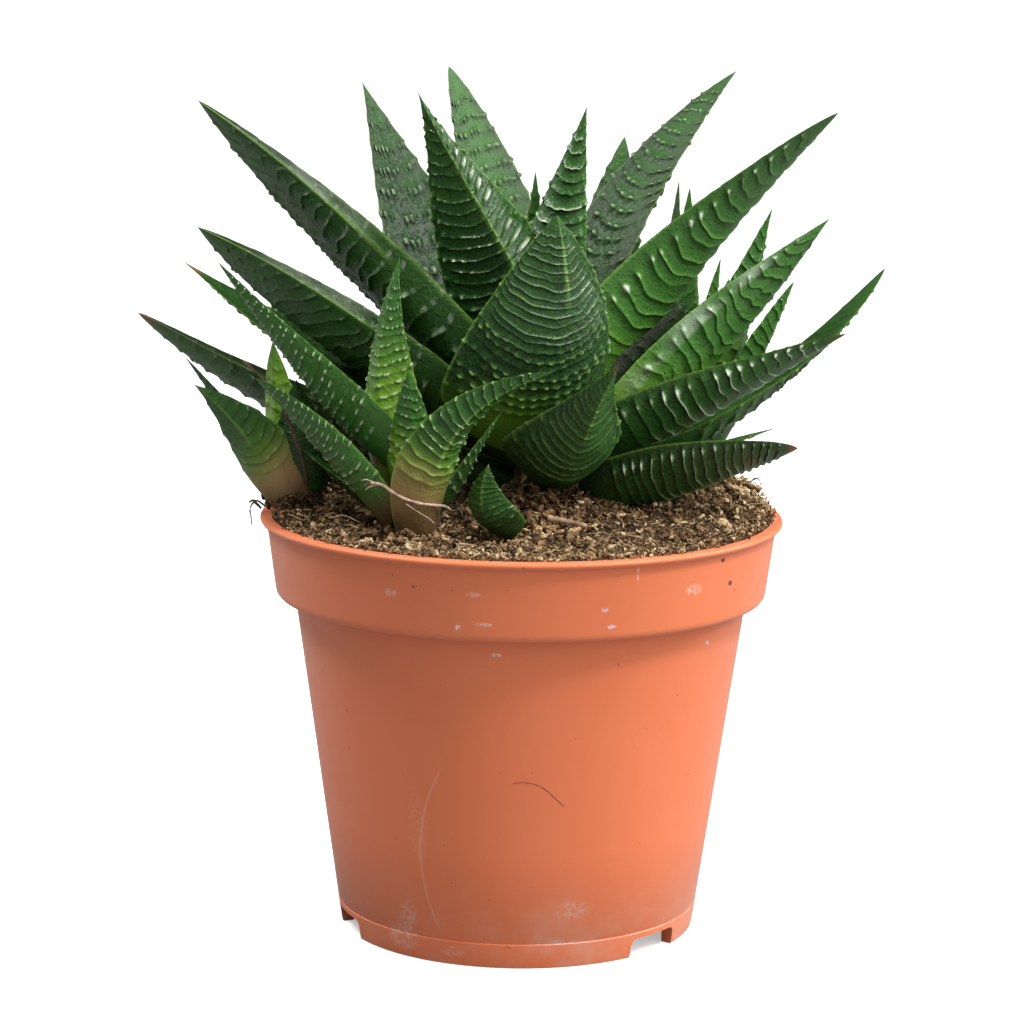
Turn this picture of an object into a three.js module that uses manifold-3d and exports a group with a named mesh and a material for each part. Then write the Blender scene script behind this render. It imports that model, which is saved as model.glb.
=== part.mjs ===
// A potted haworthia: one large rosette and three side rosettes of ridged, pointed
// leaves, with one young shoot, in a filled nursery pot. Millimetres, +Z up. The origin
// is at the middle of the pot's foot, and -Y is the side that faces the viewer.

import * as THREE from "three";
import { mergeVertices } from "three/addons/utils/BufferGeometryUtils.js";
import Module from "manifold-3d";

const wasm = await Module();
wasm.setup();

// Clearance between pieces that touch, and how close two corners are when they are one
const GAP = 0.3;
const MERGE = 1e-4;

// Pot: outer sizes first, then the wall and the foot
const POT_HEIGHT = 84;
const RIM_RADIUS = 52.5;
const COLLAR_TOP_RADIUS = 51.1;
const COLLAR_BASE_RADIUS = 49.4;
const COLLAR_BASE_HEIGHT = 68;
const BODY_TOP_RADIUS = 45.5;
const FOOT_RADIUS = 35.9;
const LIP_HEIGHT = 1.8;
const LIP_ROUND = 0.5;
const COLLAR_ROUND = 0.7;
const FOOT_ROUND = 0.4;
const WALL = 1.2;
const FLOOR_UNDERSIDE = 4.3;
const FLOOR_THICKNESS = 1.4;
const FOOT_RING_WIDTH = 2.4;
const POT_SIDES = 36;
const NOTCH_HEIGHT = 3.9;
const NOTCH_WIDTH = 13;
const NOTCH_CORNER = 1.6;
const NOTCH_DEPTH = 14;
const NOTCH_ANGLES = [49, -71, 169];
const DRAIN_RADIUS = 4;
const DRAIN_CIRCLE = 22;
const DRAIN_COUNT = 6;
const DRAIN_SIDES = 10;
const DRAIN_LENGTH = 8;

// Soil: its level and the low mounds that it is heaped in, as x, y, height, spread
const SOIL_LEVEL = 84.2;
const SOIL_EDGE_DROP = 0.9;
const SOIL_MOUNDS = [
  [6, -7, 6.5, 16],
  [-21, -20, 1.6, 9],
  [-44, -8, 4, 8],
  [30, -3, 4.5, 16],
  [34, 27, 4, 12],
  [40, 14, 2.6, 11],
];
const SOIL_EDGE_SHARE = 0.9;
const SOIL_LUMP = 0.35;
const SOIL_RINGS = [0, 0.3, 0.55, 0.76, 0.92, 1];

// Leaf outline and section: where along its length it is widest, how its width and its
// depth run out to the tip, how thick the keeled back is, how far the margins stand above
// the middle line, and how the upper face swells from hollow to full
const WIDEST = 0.3;
const USUAL_TAPER = 0.95;
const DEPTH_TAPER = 0.7;
const THICKEST = 0.8;
const KEEL_SHARE = 1.15;
const MARGIN_LIFT = 0.4;
const BACK_ROUND = 0.9;
const FACE_HOLLOW = 0.18;
const FACE_SWELL = 0.35;
const USUAL_FULLNESS = 0.35;
const SHOULDER = 0.62;
const LAST_STATION = 0.99;

// Leaf surface: cross ridges that stand up from a smooth keeled leaf
const RIDGE_HEIGHT = 0.5;
const RIDGE_START = 0.15;
const RIDGE_END = 0.96;
const RIDGE_FADE_IN = 0.1;
const RIDGE_FADE_OUT = 0.08;
const RIDGE_CROWDING = 0.9;
const RIDGE_DIP = 0.03;

// Room kept round a leaf where another one is cut to nest against it
const CLEARANCE = 0.6;
const CLEAR_STEPS = 11;
const CLEAR_OVERRUN = 0.015;

// Stems, each in a plain hole in the soil: foot x and y, radius, and lowest and highest point
const STEMS = [
  { name: "main_stem", at: [4, 0], radius: 6, low: 70, high: 106 },
  { name: "left_pup_stem", at: [-43.5, -9], radius: 2.4, low: 74, high: 93 },
  { name: "front_pup_stem", at: [-20.5, -22], radius: 3, low: 74, high: 92 },
  { name: "right_pup_stem", at: [33, 30.5], radius: 2.5, low: 74, high: 95 },
  { name: "shoot_stem", at: [-4.5, -29.5], radius: 2, low: 76, high: 87.5 },
];
const STEM_SIDES = 8;

const POT_COLOUR = 0xc8693f;
const SOIL_COLOUR = 0x6b5138;
const STEM_COLOUR = 0x8a7a4c;

// How the leaves of each rosette are built: sides of the section, and how much of the
// greatest width and thickness there is at the root
const MAIN = { sides: 6, rootWidth: 0.42, rootThick: 0.6, colour: 0x24502c };
const PUP = { sides: 6, rootWidth: 0.68, rootThick: 0.7, colour: 0x3f7a34 };
const SLIM = { sides: 4, rootWidth: 0.55, rootThick: 0.6, colour: 0x2f6a30 };

// Leaves, those that keep their whole shape first. Each runs from its root to its tip.
// rise bows it towards its upper face and sway towards one margin, roll turns its faces
// about its length, keel moves the ridge of its back off the middle, full rounds its
// outline and taper hollows it towards the tip.
const LEAVES = [
  { name: "main_leaf_01", kind: MAIN, root: [-2, -7, 100], tip: [6, -24, 146.5], rise: -4,
    width: 37, thick: 9, roll: 5, keel: 0.25, full: 0.8, ridges: 16 },
  { name: "main_leaf_02", kind: MAIN, root: [9.1, -2, 104.5], tip: [-21.5, -5, 169], rise: -0.8, sway: -5.5,
    width: 25, thick: 10.8, roll: 85, keel: 0.34, full: 1.4, taper: 1.59, ridges: 15 },
  { name: "main_leaf_03", kind: MAIN, root: [-1.7, 4, 104.1], tip: [12, 4, 165.5],
    width: 19, thick: 5.8, roll: -108, full: 0.3, taper: 1.12, ridges: 12 },
  { name: "main_leaf_04", kind: MAIN, root: [5.9, -8, 93.3], tip: [18, -38, 120], rise: -2.3,
    sway: -2.1, width: 24.5, thick: 9.9, roll: -2, full: 0.64, taper: 1.36, ridges: 13 },
  { name: "main_leaf_05", kind: MAIN, root: [9.9, -3, 97], tip: [63, -14, 123], sway: 0.7,
    width: 21, thick: 8.5, roll: -21, full: 0.77, taper: 0.87, ridges: 15 },
  { name: "main_leaf_06", kind: MAIN, root: [0, -5, 98.2], tip: [61, -6, 165.5], rise: 2.2, sway: 11.6,
    width: 30.3, thick: 10, roll: -24, keel: 0.18, full: 0.5, taper: 0.76, ridges: 14 },
  { name: "main_leaf_07", kind: MAIN, root: [0.4, -3, 101.7], tip: [-64, -8, 166.5], rise: 0.3, sway: -4.4,
    width: 23.2, thick: 7.6, roll: 29, keel: 0.4, full: 1.33, taper: 0.89, ridges: 16 },
  { name: "main_leaf_08", kind: MAIN, root: [-1, -5, 96.2], tip: [-64, -10, 142], rise: -0.6, sway: -4.1,
    width: 22.2, thick: 5.9, roll: 34, keel: 0.4, full: 1.4, taper: 0.88, ridges: 13 },
  { name: "main_leaf_09", kind: MAIN, root: [12, -5, 88], tip: [54, -16, 100.5], rise: 1.1, sway: -4,
    width: 19, thick: 8, roll: -29, full: 1.3, taper: 0.75, ridges: 12 },
  { name: "main_leaf_10", kind: MAIN, root: [13, 1, 95], tip: [61.5, 12, 143], rise: -0.7, sway: 1.5,
    width: 22.5, thick: 5.8, roll: -45, full: 1.4, taper: 1.08, ridges: 11 },
  { name: "main_leaf_11", kind: MAIN, root: [5.4, 4, 102.5], tip: [43.5, 36, 171], rise: 7.4, sway: 0.8,
    width: 18.7, thick: 7, roll: 6, full: 0.8, ridges: 12 },
  { name: "main_leaf_12", kind: MAIN, root: [-7.2, 5, 100.6], tip: [-34, 35, 168], rise: 0.7,
    width: 21, thick: 5.3, roll: -17, full: 0.9, taper: 1.17, ridges: 8 },
  { name: "main_leaf_13", kind: MAIN, root: [4.7, 8, 102], tip: [-16, 32, 171.5], rise: 1.5, sway: -1.3,
    width: 20.3, thick: 5, roll: -5, full: 0.55, taper: 0.8, ridges: 8 },
  { name: "main_leaf_14", kind: MAIN, root: [12, 12, 99], tip: [20.5, 33, 157.5],
    width: 18, thick: 5, full: 0.9, ridges: 9 },
  { name: "main_leaf_15", kind: MAIN, root: [9.9, 3, 91.7], tip: [75.2, 33, 130.8], rise: -6.3, sway: -3.3,
    width: 20.8, thick: 5.7, roll: -11, full: 0.9, taper: 0.75, ridges: 11 },
  { name: "main_leaf_16", kind: MAIN, root: [-1.5, 1, 94], tip: [-69, 14, 132.5], rise: -2.3,
    width: 19, thick: 6.5, roll: -15, full: 1, taper: 1.16, ridges: 8 },
  { name: "main_leaf_17", kind: MAIN, root: [-1.2, 3, 90.8], tip: [-77.3, 3, 123.4], rise: -4.7,
    width: 17.8, thick: 6, roll: 33, full: 0.9, taper: 0.75, ridges: 8 },
  { name: "main_leaf_18", kind: SLIM, root: [10, 1, 88], tip: [51, 6, 101],
    width: 9, thick: 3.5, full: 0.5, ridges: 8 },
  { name: "main_leaf_19", kind: SLIM, root: [2, 7, 107], tip: [2, 10, 152],
    width: 7, thick: 3, full: 0.4, ridges: 8 },
  { name: "main_leaf_20", kind: MAIN, root: [-2, 6, 98], tip: [-24, 53, 132], rise: -2,
    width: 20, thick: 7, full: 0.5, ridges: 8 },
  { name: "main_leaf_21", kind: MAIN, root: [4, 6, 96], tip: [2, 53, 118], rise: -3,
    width: 20, thick: 7, full: 0.5, ridges: 7 },
  { name: "main_leaf_22", kind: MAIN, root: [-4, 4, 92], tip: [-44, 44, 112], rise: -2,
    width: 18, thick: 7, full: 0.5, ridges: 7 },
  { name: "front_pup_leaf_1", kind: PUP, root: [-19.3, -29, 85.5], tip: [6, -36, 118], rise: 7.6,
    sway: -4.9, width: 13.4, thick: 5.2, roll: -43, full: 0.05, taper: 0.86, ridges: 11 },
  { name: "front_pup_leaf_2", kind: PUP, root: [-25.3, -24, 86.8], tip: [-51.5, -28, 115], rise: 1.3,
    width: 9.5, thick: 4.2, roll: 30, full: 1.2, taper: 0.8, ridges: 9 },
  { name: "front_pup_leaf_3", kind: PUP, root: [-22.9, -17.5, 89.2], tip: [-24, -22, 138.3], rise: 1.4,
    sway: -3.7, width: 16, thick: 6.8, roll: -19, full: 0.15, taper: 1.17, ridges: 12 },
  { name: "front_pup_leaf_4", kind: SLIM, root: [-21, -24, 90], tip: [-22, -31, 117],
    width: 10, thick: 4, full: 0.6, ridges: 7 },
  { name: "front_pup_leaf_5", kind: PUP, root: [-20, -21, 95], tip: [-59, -22, 136.5], rise: -1.3, sway: -1.4,
    width: 16.5, thick: 5.8, roll: 26, full: 0.65, taper: 1.1, ridges: 11 },
  { name: "front_pup_leaf_6", kind: SLIM, root: [-25, -18, 86], tip: [-43.5, -14, 99],
    width: 8, thick: 3, full: 0.6, ridges: 5 },
  { name: "front_pup_leaf_7", kind: SLIM, root: [-17.5, -23, 87.5], tip: [-4, -25, 108.7],
    width: 7, thick: 3, full: 0.5, ridges: 7 },
  { name: "left_pup_leaf_1", kind: PUP, root: [-46.1, -11, 87.7], tip: [-64.6, -15, 111.7], rise: 2.2,
    sway: -0.7, width: 12.7, thick: 4.2, roll: 62, full: 1, taper: 1.25, ridges: 8 },
  { name: "left_pup_leaf_2", kind: SLIM, root: [-44, -8, 90], tip: [-49.5, -8, 119.5], rise: -1,
    width: 11, thick: 4, roll: 60, full: 0.5, ridges: 7 },
  { name: "left_pup_leaf_3", kind: SLIM, root: [-41.5, -9, 90], tip: [-44.5, -13, 112.5], rise: -1,
    width: 12, thick: 4, roll: 40, full: 0.6, ridges: 7 },
  { name: "left_pup_leaf_4", kind: SLIM, root: [-45.5, -8, 89], tip: [-66.7, -8, 116],
    width: 10, thick: 4, roll: 20, full: 0.4, ridges: 7 },
  { name: "right_pup_leaf_1", kind: PUP, root: [34.9, 32, 91.4], tip: [51.4, 33, 143], rise: -0.3,
    width: 18, thick: 6.2, roll: -49, full: 0.6, taper: 1.2, ridges: 8 },
  { name: "right_pup_leaf_2", kind: PUP, root: [36.4, 28.5, 89.4], tip: [56, 29, 128.2],
    width: 14.7, thick: 5.3, roll: -28, full: 0.6, taper: 0.8, ridges: 7 },
  { name: "right_pup_leaf_3", kind: SLIM, root: [29.5, 30, 91], tip: [31.9, 32, 148.7],
    width: 9, thick: 4, full: 0.4, ridges: 6 },
  { name: "right_pup_leaf_4", kind: SLIM, root: [32.5, 35.5, 91], tip: [34.6, 41, 146.5],
    width: 10, thick: 4, full: 0.4, ridges: 6 },
  { name: "right_pup_leaf_5", kind: SLIM, root: [33.5, 26.5, 91], tip: [40.3, 22, 133.7],
    width: 12, thick: 4, full: 0.4, ridges: 6 },
  { name: "right_pup_leaf_6", kind: PUP, root: [35, 34, 90], tip: [44, 53, 126], rise: -2,
    width: 14, thick: 5, full: 0.5, ridges: 8 },
  { name: "shoot_leaf", kind: PUP, root: [-2, -31, 86.6], tip: [-6.5, -35, 100], rise: -3.6,
    width: 11.5, thick: 3.9, roll: 11, full: 1.3, taper: 1.15, ridges: 6 },
];

// Solids and meshes

function solidOf(geometry) {
  const plain = geometry.clone();
  plain.deleteAttribute("normal");
  plain.deleteAttribute("uv");
  const merged = mergeVertices(plain, MERGE);
  const mesh = new wasm.Mesh({
    numProp: 3,
    vertProperties: new Float32Array(merged.attributes.position.array),
    triVerts: new Uint32Array(merged.index.array),
  });
  mesh.merge();
  return new wasm.Manifold(mesh);
}

function geometryOf(solid) {
  const mesh = solid.getMesh();
  const geometry = new THREE.BufferGeometry();
  geometry.setAttribute("position", new THREE.BufferAttribute(mesh.vertProperties, 3));
  geometry.setIndex(new THREE.BufferAttribute(mesh.triVerts, 1));
  geometry.computeVertexNormals();
  return geometry;
}

function largestPiece(solid) {
  const pieces = solid.decompose();
  pieces.sort((a, b) => b.volume() - a.volume());
  return pieces[0];
}

function boxesMeet(a, b) {
  const first = a.boundingBox();
  const second = b.boundingBox();
  return [0, 1, 2].every((k) => first.min[k] < second.max[k] && second.min[k] < first.max[k]);
}

function lathe(points, sides) {
  const profile = points.map(([radius, height]) => new THREE.Vector2(radius, height));
  const geometry = new THREE.LatheGeometry(profile, sides);
  geometry.rotateX(Math.PI / 2);
  return geometry;
}

// Pot

// How far the slanting wall stands out at a height above the foot
function draftAt(height) {
  return ((BODY_TOP_RADIUS - FOOT_RADIUS) * height) / COLLAR_BASE_HEIGHT;
}

function potProfile() {
  const floorTop = FLOOR_UNDERSIDE + FLOOR_THICKNESS;
  const floorDraft = draftAt(floorTop);
  const innerRim = COLLAR_TOP_RADIUS - WALL;
  return [
    [0, FLOOR_UNDERSIDE],
    [FOOT_RADIUS - FOOT_RING_WIDTH, FLOOR_UNDERSIDE],
    [FOOT_RADIUS - FOOT_RING_WIDTH, 0],
    [FOOT_RADIUS - FOOT_ROUND, 0],
    [FOOT_RADIUS, FOOT_ROUND],
    [BODY_TOP_RADIUS, COLLAR_BASE_HEIGHT],
    [COLLAR_BASE_RADIUS - COLLAR_ROUND, COLLAR_BASE_HEIGHT],
    [COLLAR_BASE_RADIUS, COLLAR_BASE_HEIGHT + COLLAR_ROUND],
    [COLLAR_TOP_RADIUS, POT_HEIGHT - LIP_HEIGHT - LIP_ROUND],
    [RIM_RADIUS, POT_HEIGHT - LIP_HEIGHT],
    [RIM_RADIUS, POT_HEIGHT - LIP_ROUND],
    [RIM_RADIUS - LIP_ROUND, POT_HEIGHT],
    [innerRim, POT_HEIGHT],
    [COLLAR_BASE_RADIUS - WALL, COLLAR_BASE_HEIGHT + 2 * WALL],
    [BODY_TOP_RADIUS - WALL, COLLAR_BASE_HEIGHT],
    [FOOT_RADIUS - WALL + floorDraft, floorTop],
    [0, floorTop],
  ];
}

function notchCutter(angle) {
  const half = NOTCH_WIDTH / 2;
  const arch = new THREE.Shape();
  arch.moveTo(-half, -1);
  arch.lineTo(half, -1);
  arch.lineTo(half, NOTCH_HEIGHT - NOTCH_CORNER);
  arch.quadraticCurveTo(half, NOTCH_HEIGHT, half - NOTCH_CORNER, NOTCH_HEIGHT);
  arch.lineTo(NOTCH_CORNER - half, NOTCH_HEIGHT);
  arch.quadraticCurveTo(-half, NOTCH_HEIGHT, -half, NOTCH_HEIGHT - NOTCH_CORNER);
  const options = { depth: NOTCH_DEPTH, bevelEnabled: false, curveSegments: 3 };
  const geometry = new THREE.ExtrudeGeometry(arch, options);
  geometry.rotateX(Math.PI / 2);
  geometry.translate(0, NOTCH_DEPTH / 2 - FOOT_RADIUS, 0);
  geometry.rotateZ(THREE.MathUtils.degToRad(angle));
  return solidOf(geometry);
}

function drainCutter(index) {
  const geometry = new THREE.CylinderGeometry(
    DRAIN_RADIUS, DRAIN_RADIUS, DRAIN_LENGTH, DRAIN_SIDES);
  geometry.rotateX(Math.PI / 2);
  const turn = (2 * Math.PI * index) / DRAIN_COUNT;
  geometry.translate(DRAIN_CIRCLE * Math.cos(turn), DRAIN_CIRCLE * Math.sin(turn), FLOOR_UNDERSIDE);
  return solidOf(geometry);
}

function pot() {
  let solid = solidOf(lathe(potProfile(), POT_SIDES));
  for (const angle of NOTCH_ANGLES) {
    solid = solid.subtract(notchCutter(angle));
  }
  for (let index = 0; index < DRAIN_COUNT; index += 1) {
    solid = solid.subtract(drainCutter(index));
  }
  return solid;
}

// Soil

function soilHeight(x, y) {
  let height = SOIL_LEVEL;
  for (const [moundX, moundY, rise, spread] of SOIL_MOUNDS) {
    const distance = Math.hypot(x - moundX, y - moundY) / spread;
    height += rise * Math.exp(-distance * distance);
  }
  return height + SOIL_LUMP * Math.sin(x * 0.61 + 1) * Math.cos(y * 0.53 + x * 0.17);
}

function soil(lift) {
  const inset = WALL + GAP;
  const top = COLLAR_TOP_RADIUS - inset;
  const floorTop = FLOOR_UNDERSIDE + FLOOR_THICKNESS + GAP;
  const sides = [
    [0, floorTop],
    [FOOT_RADIUS - inset + draftAt(FLOOR_UNDERSIDE), floorTop],
    [BODY_TOP_RADIUS - inset, COLLAR_BASE_HEIGHT],
    [COLLAR_BASE_RADIUS - inset, COLLAR_BASE_HEIGHT + 2 * WALL],
  ];
  const rings = SOIL_RINGS.slice().reverse();
  const profile = sides.concat(rings.map((share) => [top * share, SOIL_LEVEL]));
  const geometry = lathe(profile, POT_SIDES);
  const place = geometry.attributes.position;
  for (let i = 0; i < place.count; i += 1) {
    const x = place.getX(i);
    const y = place.getY(i);
    if (place.getZ(i) > SOIL_LEVEL - GAP) {
      const share = Math.hypot(x, y) / top;
      const edge = Math.max(0, share - SOIL_EDGE_SHARE) / (1 - SOIL_EDGE_SHARE);
      place.setZ(i, soilHeight(x, y) - SOIL_EDGE_DROP * edge + lift);
    }
  }
  return solidOf(geometry);
}

// Stems: cut square below, widest in the middle and rounded off above

function stem({ at, radius, low, high }, grow) {
  const geometry = lathe([
    [0, low - grow],
    [radius * 0.5 + grow, low - grow],
    [radius * 0.9 + grow, low + 2],
    [radius + grow, (low + high) / 2],
    [radius * 0.8 + grow, high - radius * 0.6],
    [radius * 0.3 + grow, high + grow],
    [0, high + grow],
  ], STEM_SIDES);
  geometry.translate(at[0], at[1], 0);
  return solidOf(geometry);
}

// Leaves

function leafFrame(leaf, s) {
  const root = new THREE.Vector3(...leaf.root);
  const chord = new THREE.Vector3(...leaf.tip).sub(root);
  const level = new THREE.Vector3(0, 0, 1).cross(chord).normalize();
  const upward = chord.clone().normalize().cross(level);
  const bow = upward.multiplyScalar(leaf.rise ?? 0).addScaledVector(level, leaf.sway ?? 0);
  const centre = root.addScaledVector(chord, s).addScaledVector(bow, 4 * s * (1 - s));
  const along = chord.addScaledVector(bow, 4 * (1 - 2 * s)).normalize();
  const across = level.addScaledVector(along, -along.dot(level)).normalize();
  const upper = along.clone().cross(across);
  const roll = THREE.MathUtils.degToRad(leaf.roll ?? 0);
  across.applyAxisAngle(along, roll);
  upper.applyAxisAngle(along, roll);
  return { centre, across, upper };
}

function halfWidth(leaf, s) {
  const { rootWidth } = leaf.kind;
  if (s < WIDEST) {
    const opening = Math.sin((Math.PI / 2) * (s / WIDEST));
    return (leaf.width / 2) * (rootWidth + (1 - rootWidth) * opening);
  }
  const run = (s - WIDEST) / (1 - WIDEST);
  const fullness = 1 + (leaf.full ?? USUAL_FULLNESS) * run;
  return (leaf.width / 2) * Math.pow(1 - run, leaf.taper ?? USUAL_TAPER) * fullness;
}

function keelDepth(leaf, s) {
  const { rootThick } = leaf.kind;
  const swell = rootThick + (1 - rootThick) * Math.sin(Math.PI * Math.min(s / THICKEST, 1));
  return leaf.thick * KEEL_SHARE * swell * Math.pow(1 - s, DEPTH_TAPER);
}

function ridgeRelief(s) {
  const start = THREE.MathUtils.smoothstep(s, RIDGE_START, RIDGE_START + RIDGE_FADE_IN);
  const left = THREE.MathUtils.smoothstep(RIDGE_END - s, 0, RIDGE_FADE_OUT);
  return RIDGE_HEIGHT * start * left;
}

// One point of a leaf's section. x runs from margin to margin, side is -1 on the back,
// 0 at a margin and 1 on the upper face, and raised is how far the surface stands out.
// A blunt margin has two points, lift above and below it.
function leafPoint(leaf, s, { x, side, lift }, raised) {
  const station = Math.min(s + RIDGE_DIP * x * x * Math.sin(Math.PI * s), LAST_STATION);
  const keel = leaf.keel ?? 0;
  const depth = keelDepth(leaf, station);
  const offset = x > keel ? (x - keel) / (1 - keel) : (keel - x) / (1 + keel);
  let height = MARGIN_LIFT * depth;
  if (side < 0) {
    height -= depth * Math.pow(1 - offset * offset, BACK_ROUND) + raised;
  } else if (side > 0) {
    height += depth * (FACE_SWELL * station - FACE_HOLLOW) + raised;
  } else {
    height += lift * raised;
  }
  const sideways = halfWidth(leaf, station) * x + raised * x;
  const { centre, across, upper } = leafFrame(leaf, station);
  return centre.addScaledVector(across, sideways).addScaledVector(upper, height);
}

function leafSection(leaf) {
  const keel = leaf.keel ?? 0;
  const section = [{ x: -1, side: 0, lift: 0 }, { x: keel, side: -1 }, { x: 1, side: 0, lift: 0 },
    { x: 0, side: 1 }];
  if (leaf.kind.sides === 6) {
    section.splice(1, 0, { x: keel - SHOULDER * (1 + keel), side: -1 });
    section.splice(3, 0, { x: keel + SHOULDER * (1 - keel), side: -1 });
  }
  return section;
}

function bluntSection(leaf) {
  const section = leafSection(leaf).filter(({ side }) => side !== 0);
  section.unshift({ x: -1, side: 0, lift: -1 });
  section.splice(-1, 0, { x: 1, side: 0, lift: -1 }, { x: 1, side: 0, lift: 1 });
  section.push({ x: -1, side: 0, lift: 1 });
  return section;
}

// The stations along a leaf, and how far each one stands out
function ridgedStations(leaf) {
  const stations = [{ s: 0, raised: 0 }, { s: RIDGE_START / 2, raised: 0 }];
  for (let i = 0; i <= 2 * leaf.ridges; i += 1) {
    const share = Math.pow(i / (2 * leaf.ridges), RIDGE_CROWDING);
    const s = RIDGE_START + (RIDGE_END - RIDGE_START) * share;
    stations.push({ s, raised: i % 2 === 1 ? ridgeRelief(s) : 0 });
  }
  return stations;
}

function clearStations() {
  const stations = [];
  for (let i = 0; i <= CLEAR_STEPS; i += 1) {
    const s = (i / CLEAR_STEPS) * (RIDGE_END + CLEAR_OVERRUN) - CLEAR_OVERRUN;
    stations.push({ s, raised: CLEARANCE + ridgeRelief(s) });
  }
  return stations;
}

function loftLeaf(leaf, section, stations, reach) {
  const points = [];
  for (const { s, raised } of stations) {
    for (const corner of section) {
      points.push(leafPoint(leaf, s, corner, raised));
    }
  }
  const root = leafFrame(leaf, stations[0].s).centre;
  const tip = new THREE.Vector3(...leaf.tip);
  const outward = tip.clone().sub(root).setLength(reach);
  points.push(root, tip.add(outward));
  const sides = section.length;
  const rootIndex = points.length - 2;
  const tipIndex = points.length - 1;
  const last = (stations.length - 1) * sides;
  const faces = [];
  for (let k = 0; k < sides; k += 1) {
    const next = (k + 1) % sides;
    faces.push(rootIndex, next, k);
    faces.push(tipIndex, last + k, last + next);
    for (let ring = 0; ring < last; ring += sides) {
      faces.push(ring + k, ring + next, ring + sides + next);
      faces.push(ring + k, ring + sides + next, ring + sides + k);
    }
  }
  const geometry = new THREE.BufferGeometry().setFromPoints(points);
  geometry.setIndex(faces);
  return solidOf(geometry);
}

function ridgedLeaf(leaf) {
  return loftLeaf(leaf, leafSection(leaf), ridgedStations(leaf), 0);
}

// The room that a leaf needs: its smooth shape, grown by its ridges and the clearance
function clearLeaf(leaf) {
  return loftLeaf(leaf, bluntSection(leaf), clearStations(), CLEARANCE);
}

// The plant, piece by piece, each one clear of those before it

const potSolid = pot();
const soilClear = soil(GAP);
const stemSolids = STEMS.map((one) => stem(one, 0));
const stemClear = STEMS.map((one) => stem(one, GAP));
let soilSolid = soil(0);
for (const clear of stemClear) {
  soilSolid = soilSolid.subtract(clear);
}

const leafSolids = [];
const leafClear = [];
for (const leaf of LEAVES) {
  let solid = ridgedLeaf(leaf);
  for (const other of [soilClear, potSolid, ...stemClear, ...leafClear]) {
    if (boxesMeet(solid, other)) {
      solid = solid.subtract(other);
    }
  }
  leafSolids.push(largestPiece(solid));
  leafClear.push(clearLeaf(leaf));
}

// The finished part

function piece(name, solid, colour, roughness) {
  const material = new THREE.MeshStandardMaterial({ color: colour, roughness, metalness: 0 });
  const mesh = new THREE.Mesh(geometryOf(solid), material);
  mesh.name = name;
  return mesh;
}

const plant = new THREE.Group();
plant.add(piece("pot", potSolid, POT_COLOUR, 0.5));
plant.add(piece("soil", soilSolid, SOIL_COLOUR, 1));
STEMS.forEach((one, index) => {
  plant.add(piece(one.name, stemSolids[index], STEM_COLOUR, 0.7));
});
LEAVES.forEach((leaf, index) => {
  plant.add(piece(leaf.name, leafSolids[index], leaf.kind.colour, 0.35));
});

export default plant;
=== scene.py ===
"""A potted haworthia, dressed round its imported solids: fine ridged leaves, a crumbly
soil with roots and moss, and a worn plastic pot, on a plain studio floor."""

import math
import random

import bpy
import numpy as np
from mathutils import Matrix, Vector


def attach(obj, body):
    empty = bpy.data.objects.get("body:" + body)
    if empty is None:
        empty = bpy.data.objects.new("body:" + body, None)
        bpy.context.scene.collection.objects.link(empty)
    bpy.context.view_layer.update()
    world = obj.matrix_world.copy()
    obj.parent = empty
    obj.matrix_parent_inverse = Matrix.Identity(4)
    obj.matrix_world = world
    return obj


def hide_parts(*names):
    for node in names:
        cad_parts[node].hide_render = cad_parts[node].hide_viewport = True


bl_info = {
    "name": "Potted Haworthia",
    "version": (1, 0, 0),
    "blender": (4, 5, 0),
    "location": "View3D > Sidebar > Haworthia",
    "description": "Builds a haworthia with its side rosettes, soil and nursery pot",
    "category": "Add Mesh",
}

MM = 0.001

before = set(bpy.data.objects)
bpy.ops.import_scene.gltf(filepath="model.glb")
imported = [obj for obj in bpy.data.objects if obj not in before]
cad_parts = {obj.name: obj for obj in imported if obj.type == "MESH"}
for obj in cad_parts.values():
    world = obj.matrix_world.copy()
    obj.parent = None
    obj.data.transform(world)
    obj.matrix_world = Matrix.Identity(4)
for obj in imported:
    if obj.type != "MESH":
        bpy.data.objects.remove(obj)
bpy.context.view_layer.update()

# Camera of the photograph: its aim, its distance in metres, its height above the level
# and its turn about its own axis, with the focal length in points of a frame 1024 wide
CAMERA_AIM = Vector((-1.91, 0, 84.26)) * MM
CAMERA_DISTANCE = 0.7
CAMERA_ELEVATION = math.radians(10.37)
CAMERA_ROLL = math.radians(0.67)
FOCAL_POINTS = 3477
PICTURE_WIDTH = 1024
SENSOR_WIDTH = 36

# The way that the broad light of the window shines, and how widely it spreads
WINDOW_WAY = (-0.7, 0.4, -0.72)
WINDOW_SPREAD = math.radians(110)

# Pot, in millimetres, as in the part's source, but with a finer lip bead
POT_HEIGHT = 84
RIM_RADIUS = 52.5
COLLAR_TOP_RADIUS = 51.1
COLLAR_BASE_RADIUS = 49.4
COLLAR_BASE_HEIGHT = 68
BODY_TOP_RADIUS = 45.5
FOOT_RADIUS = 35.9
LIP_HEIGHT = 1.4
WALL = 1.2
FLOOR_UNDERSIDE = 4.3
FLOOR_THICKNESS = 1.4
FOOT_RING_WIDTH = 2.4
FOOT_BAND_HEIGHT = 5.2
NOTCH_HEIGHT = 3.9
NOTCH_WIDTH = 13
NOTCH_DEPTH = 14
NOTCH_CORNER = 1.4
NOTCH_ANGLES = (49, -71, 169)
DRAIN_RADIUS = 4
DRAIN_CIRCLE = 22
DRAIN_COUNT = 6
SPIN_STEPS = 144

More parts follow.
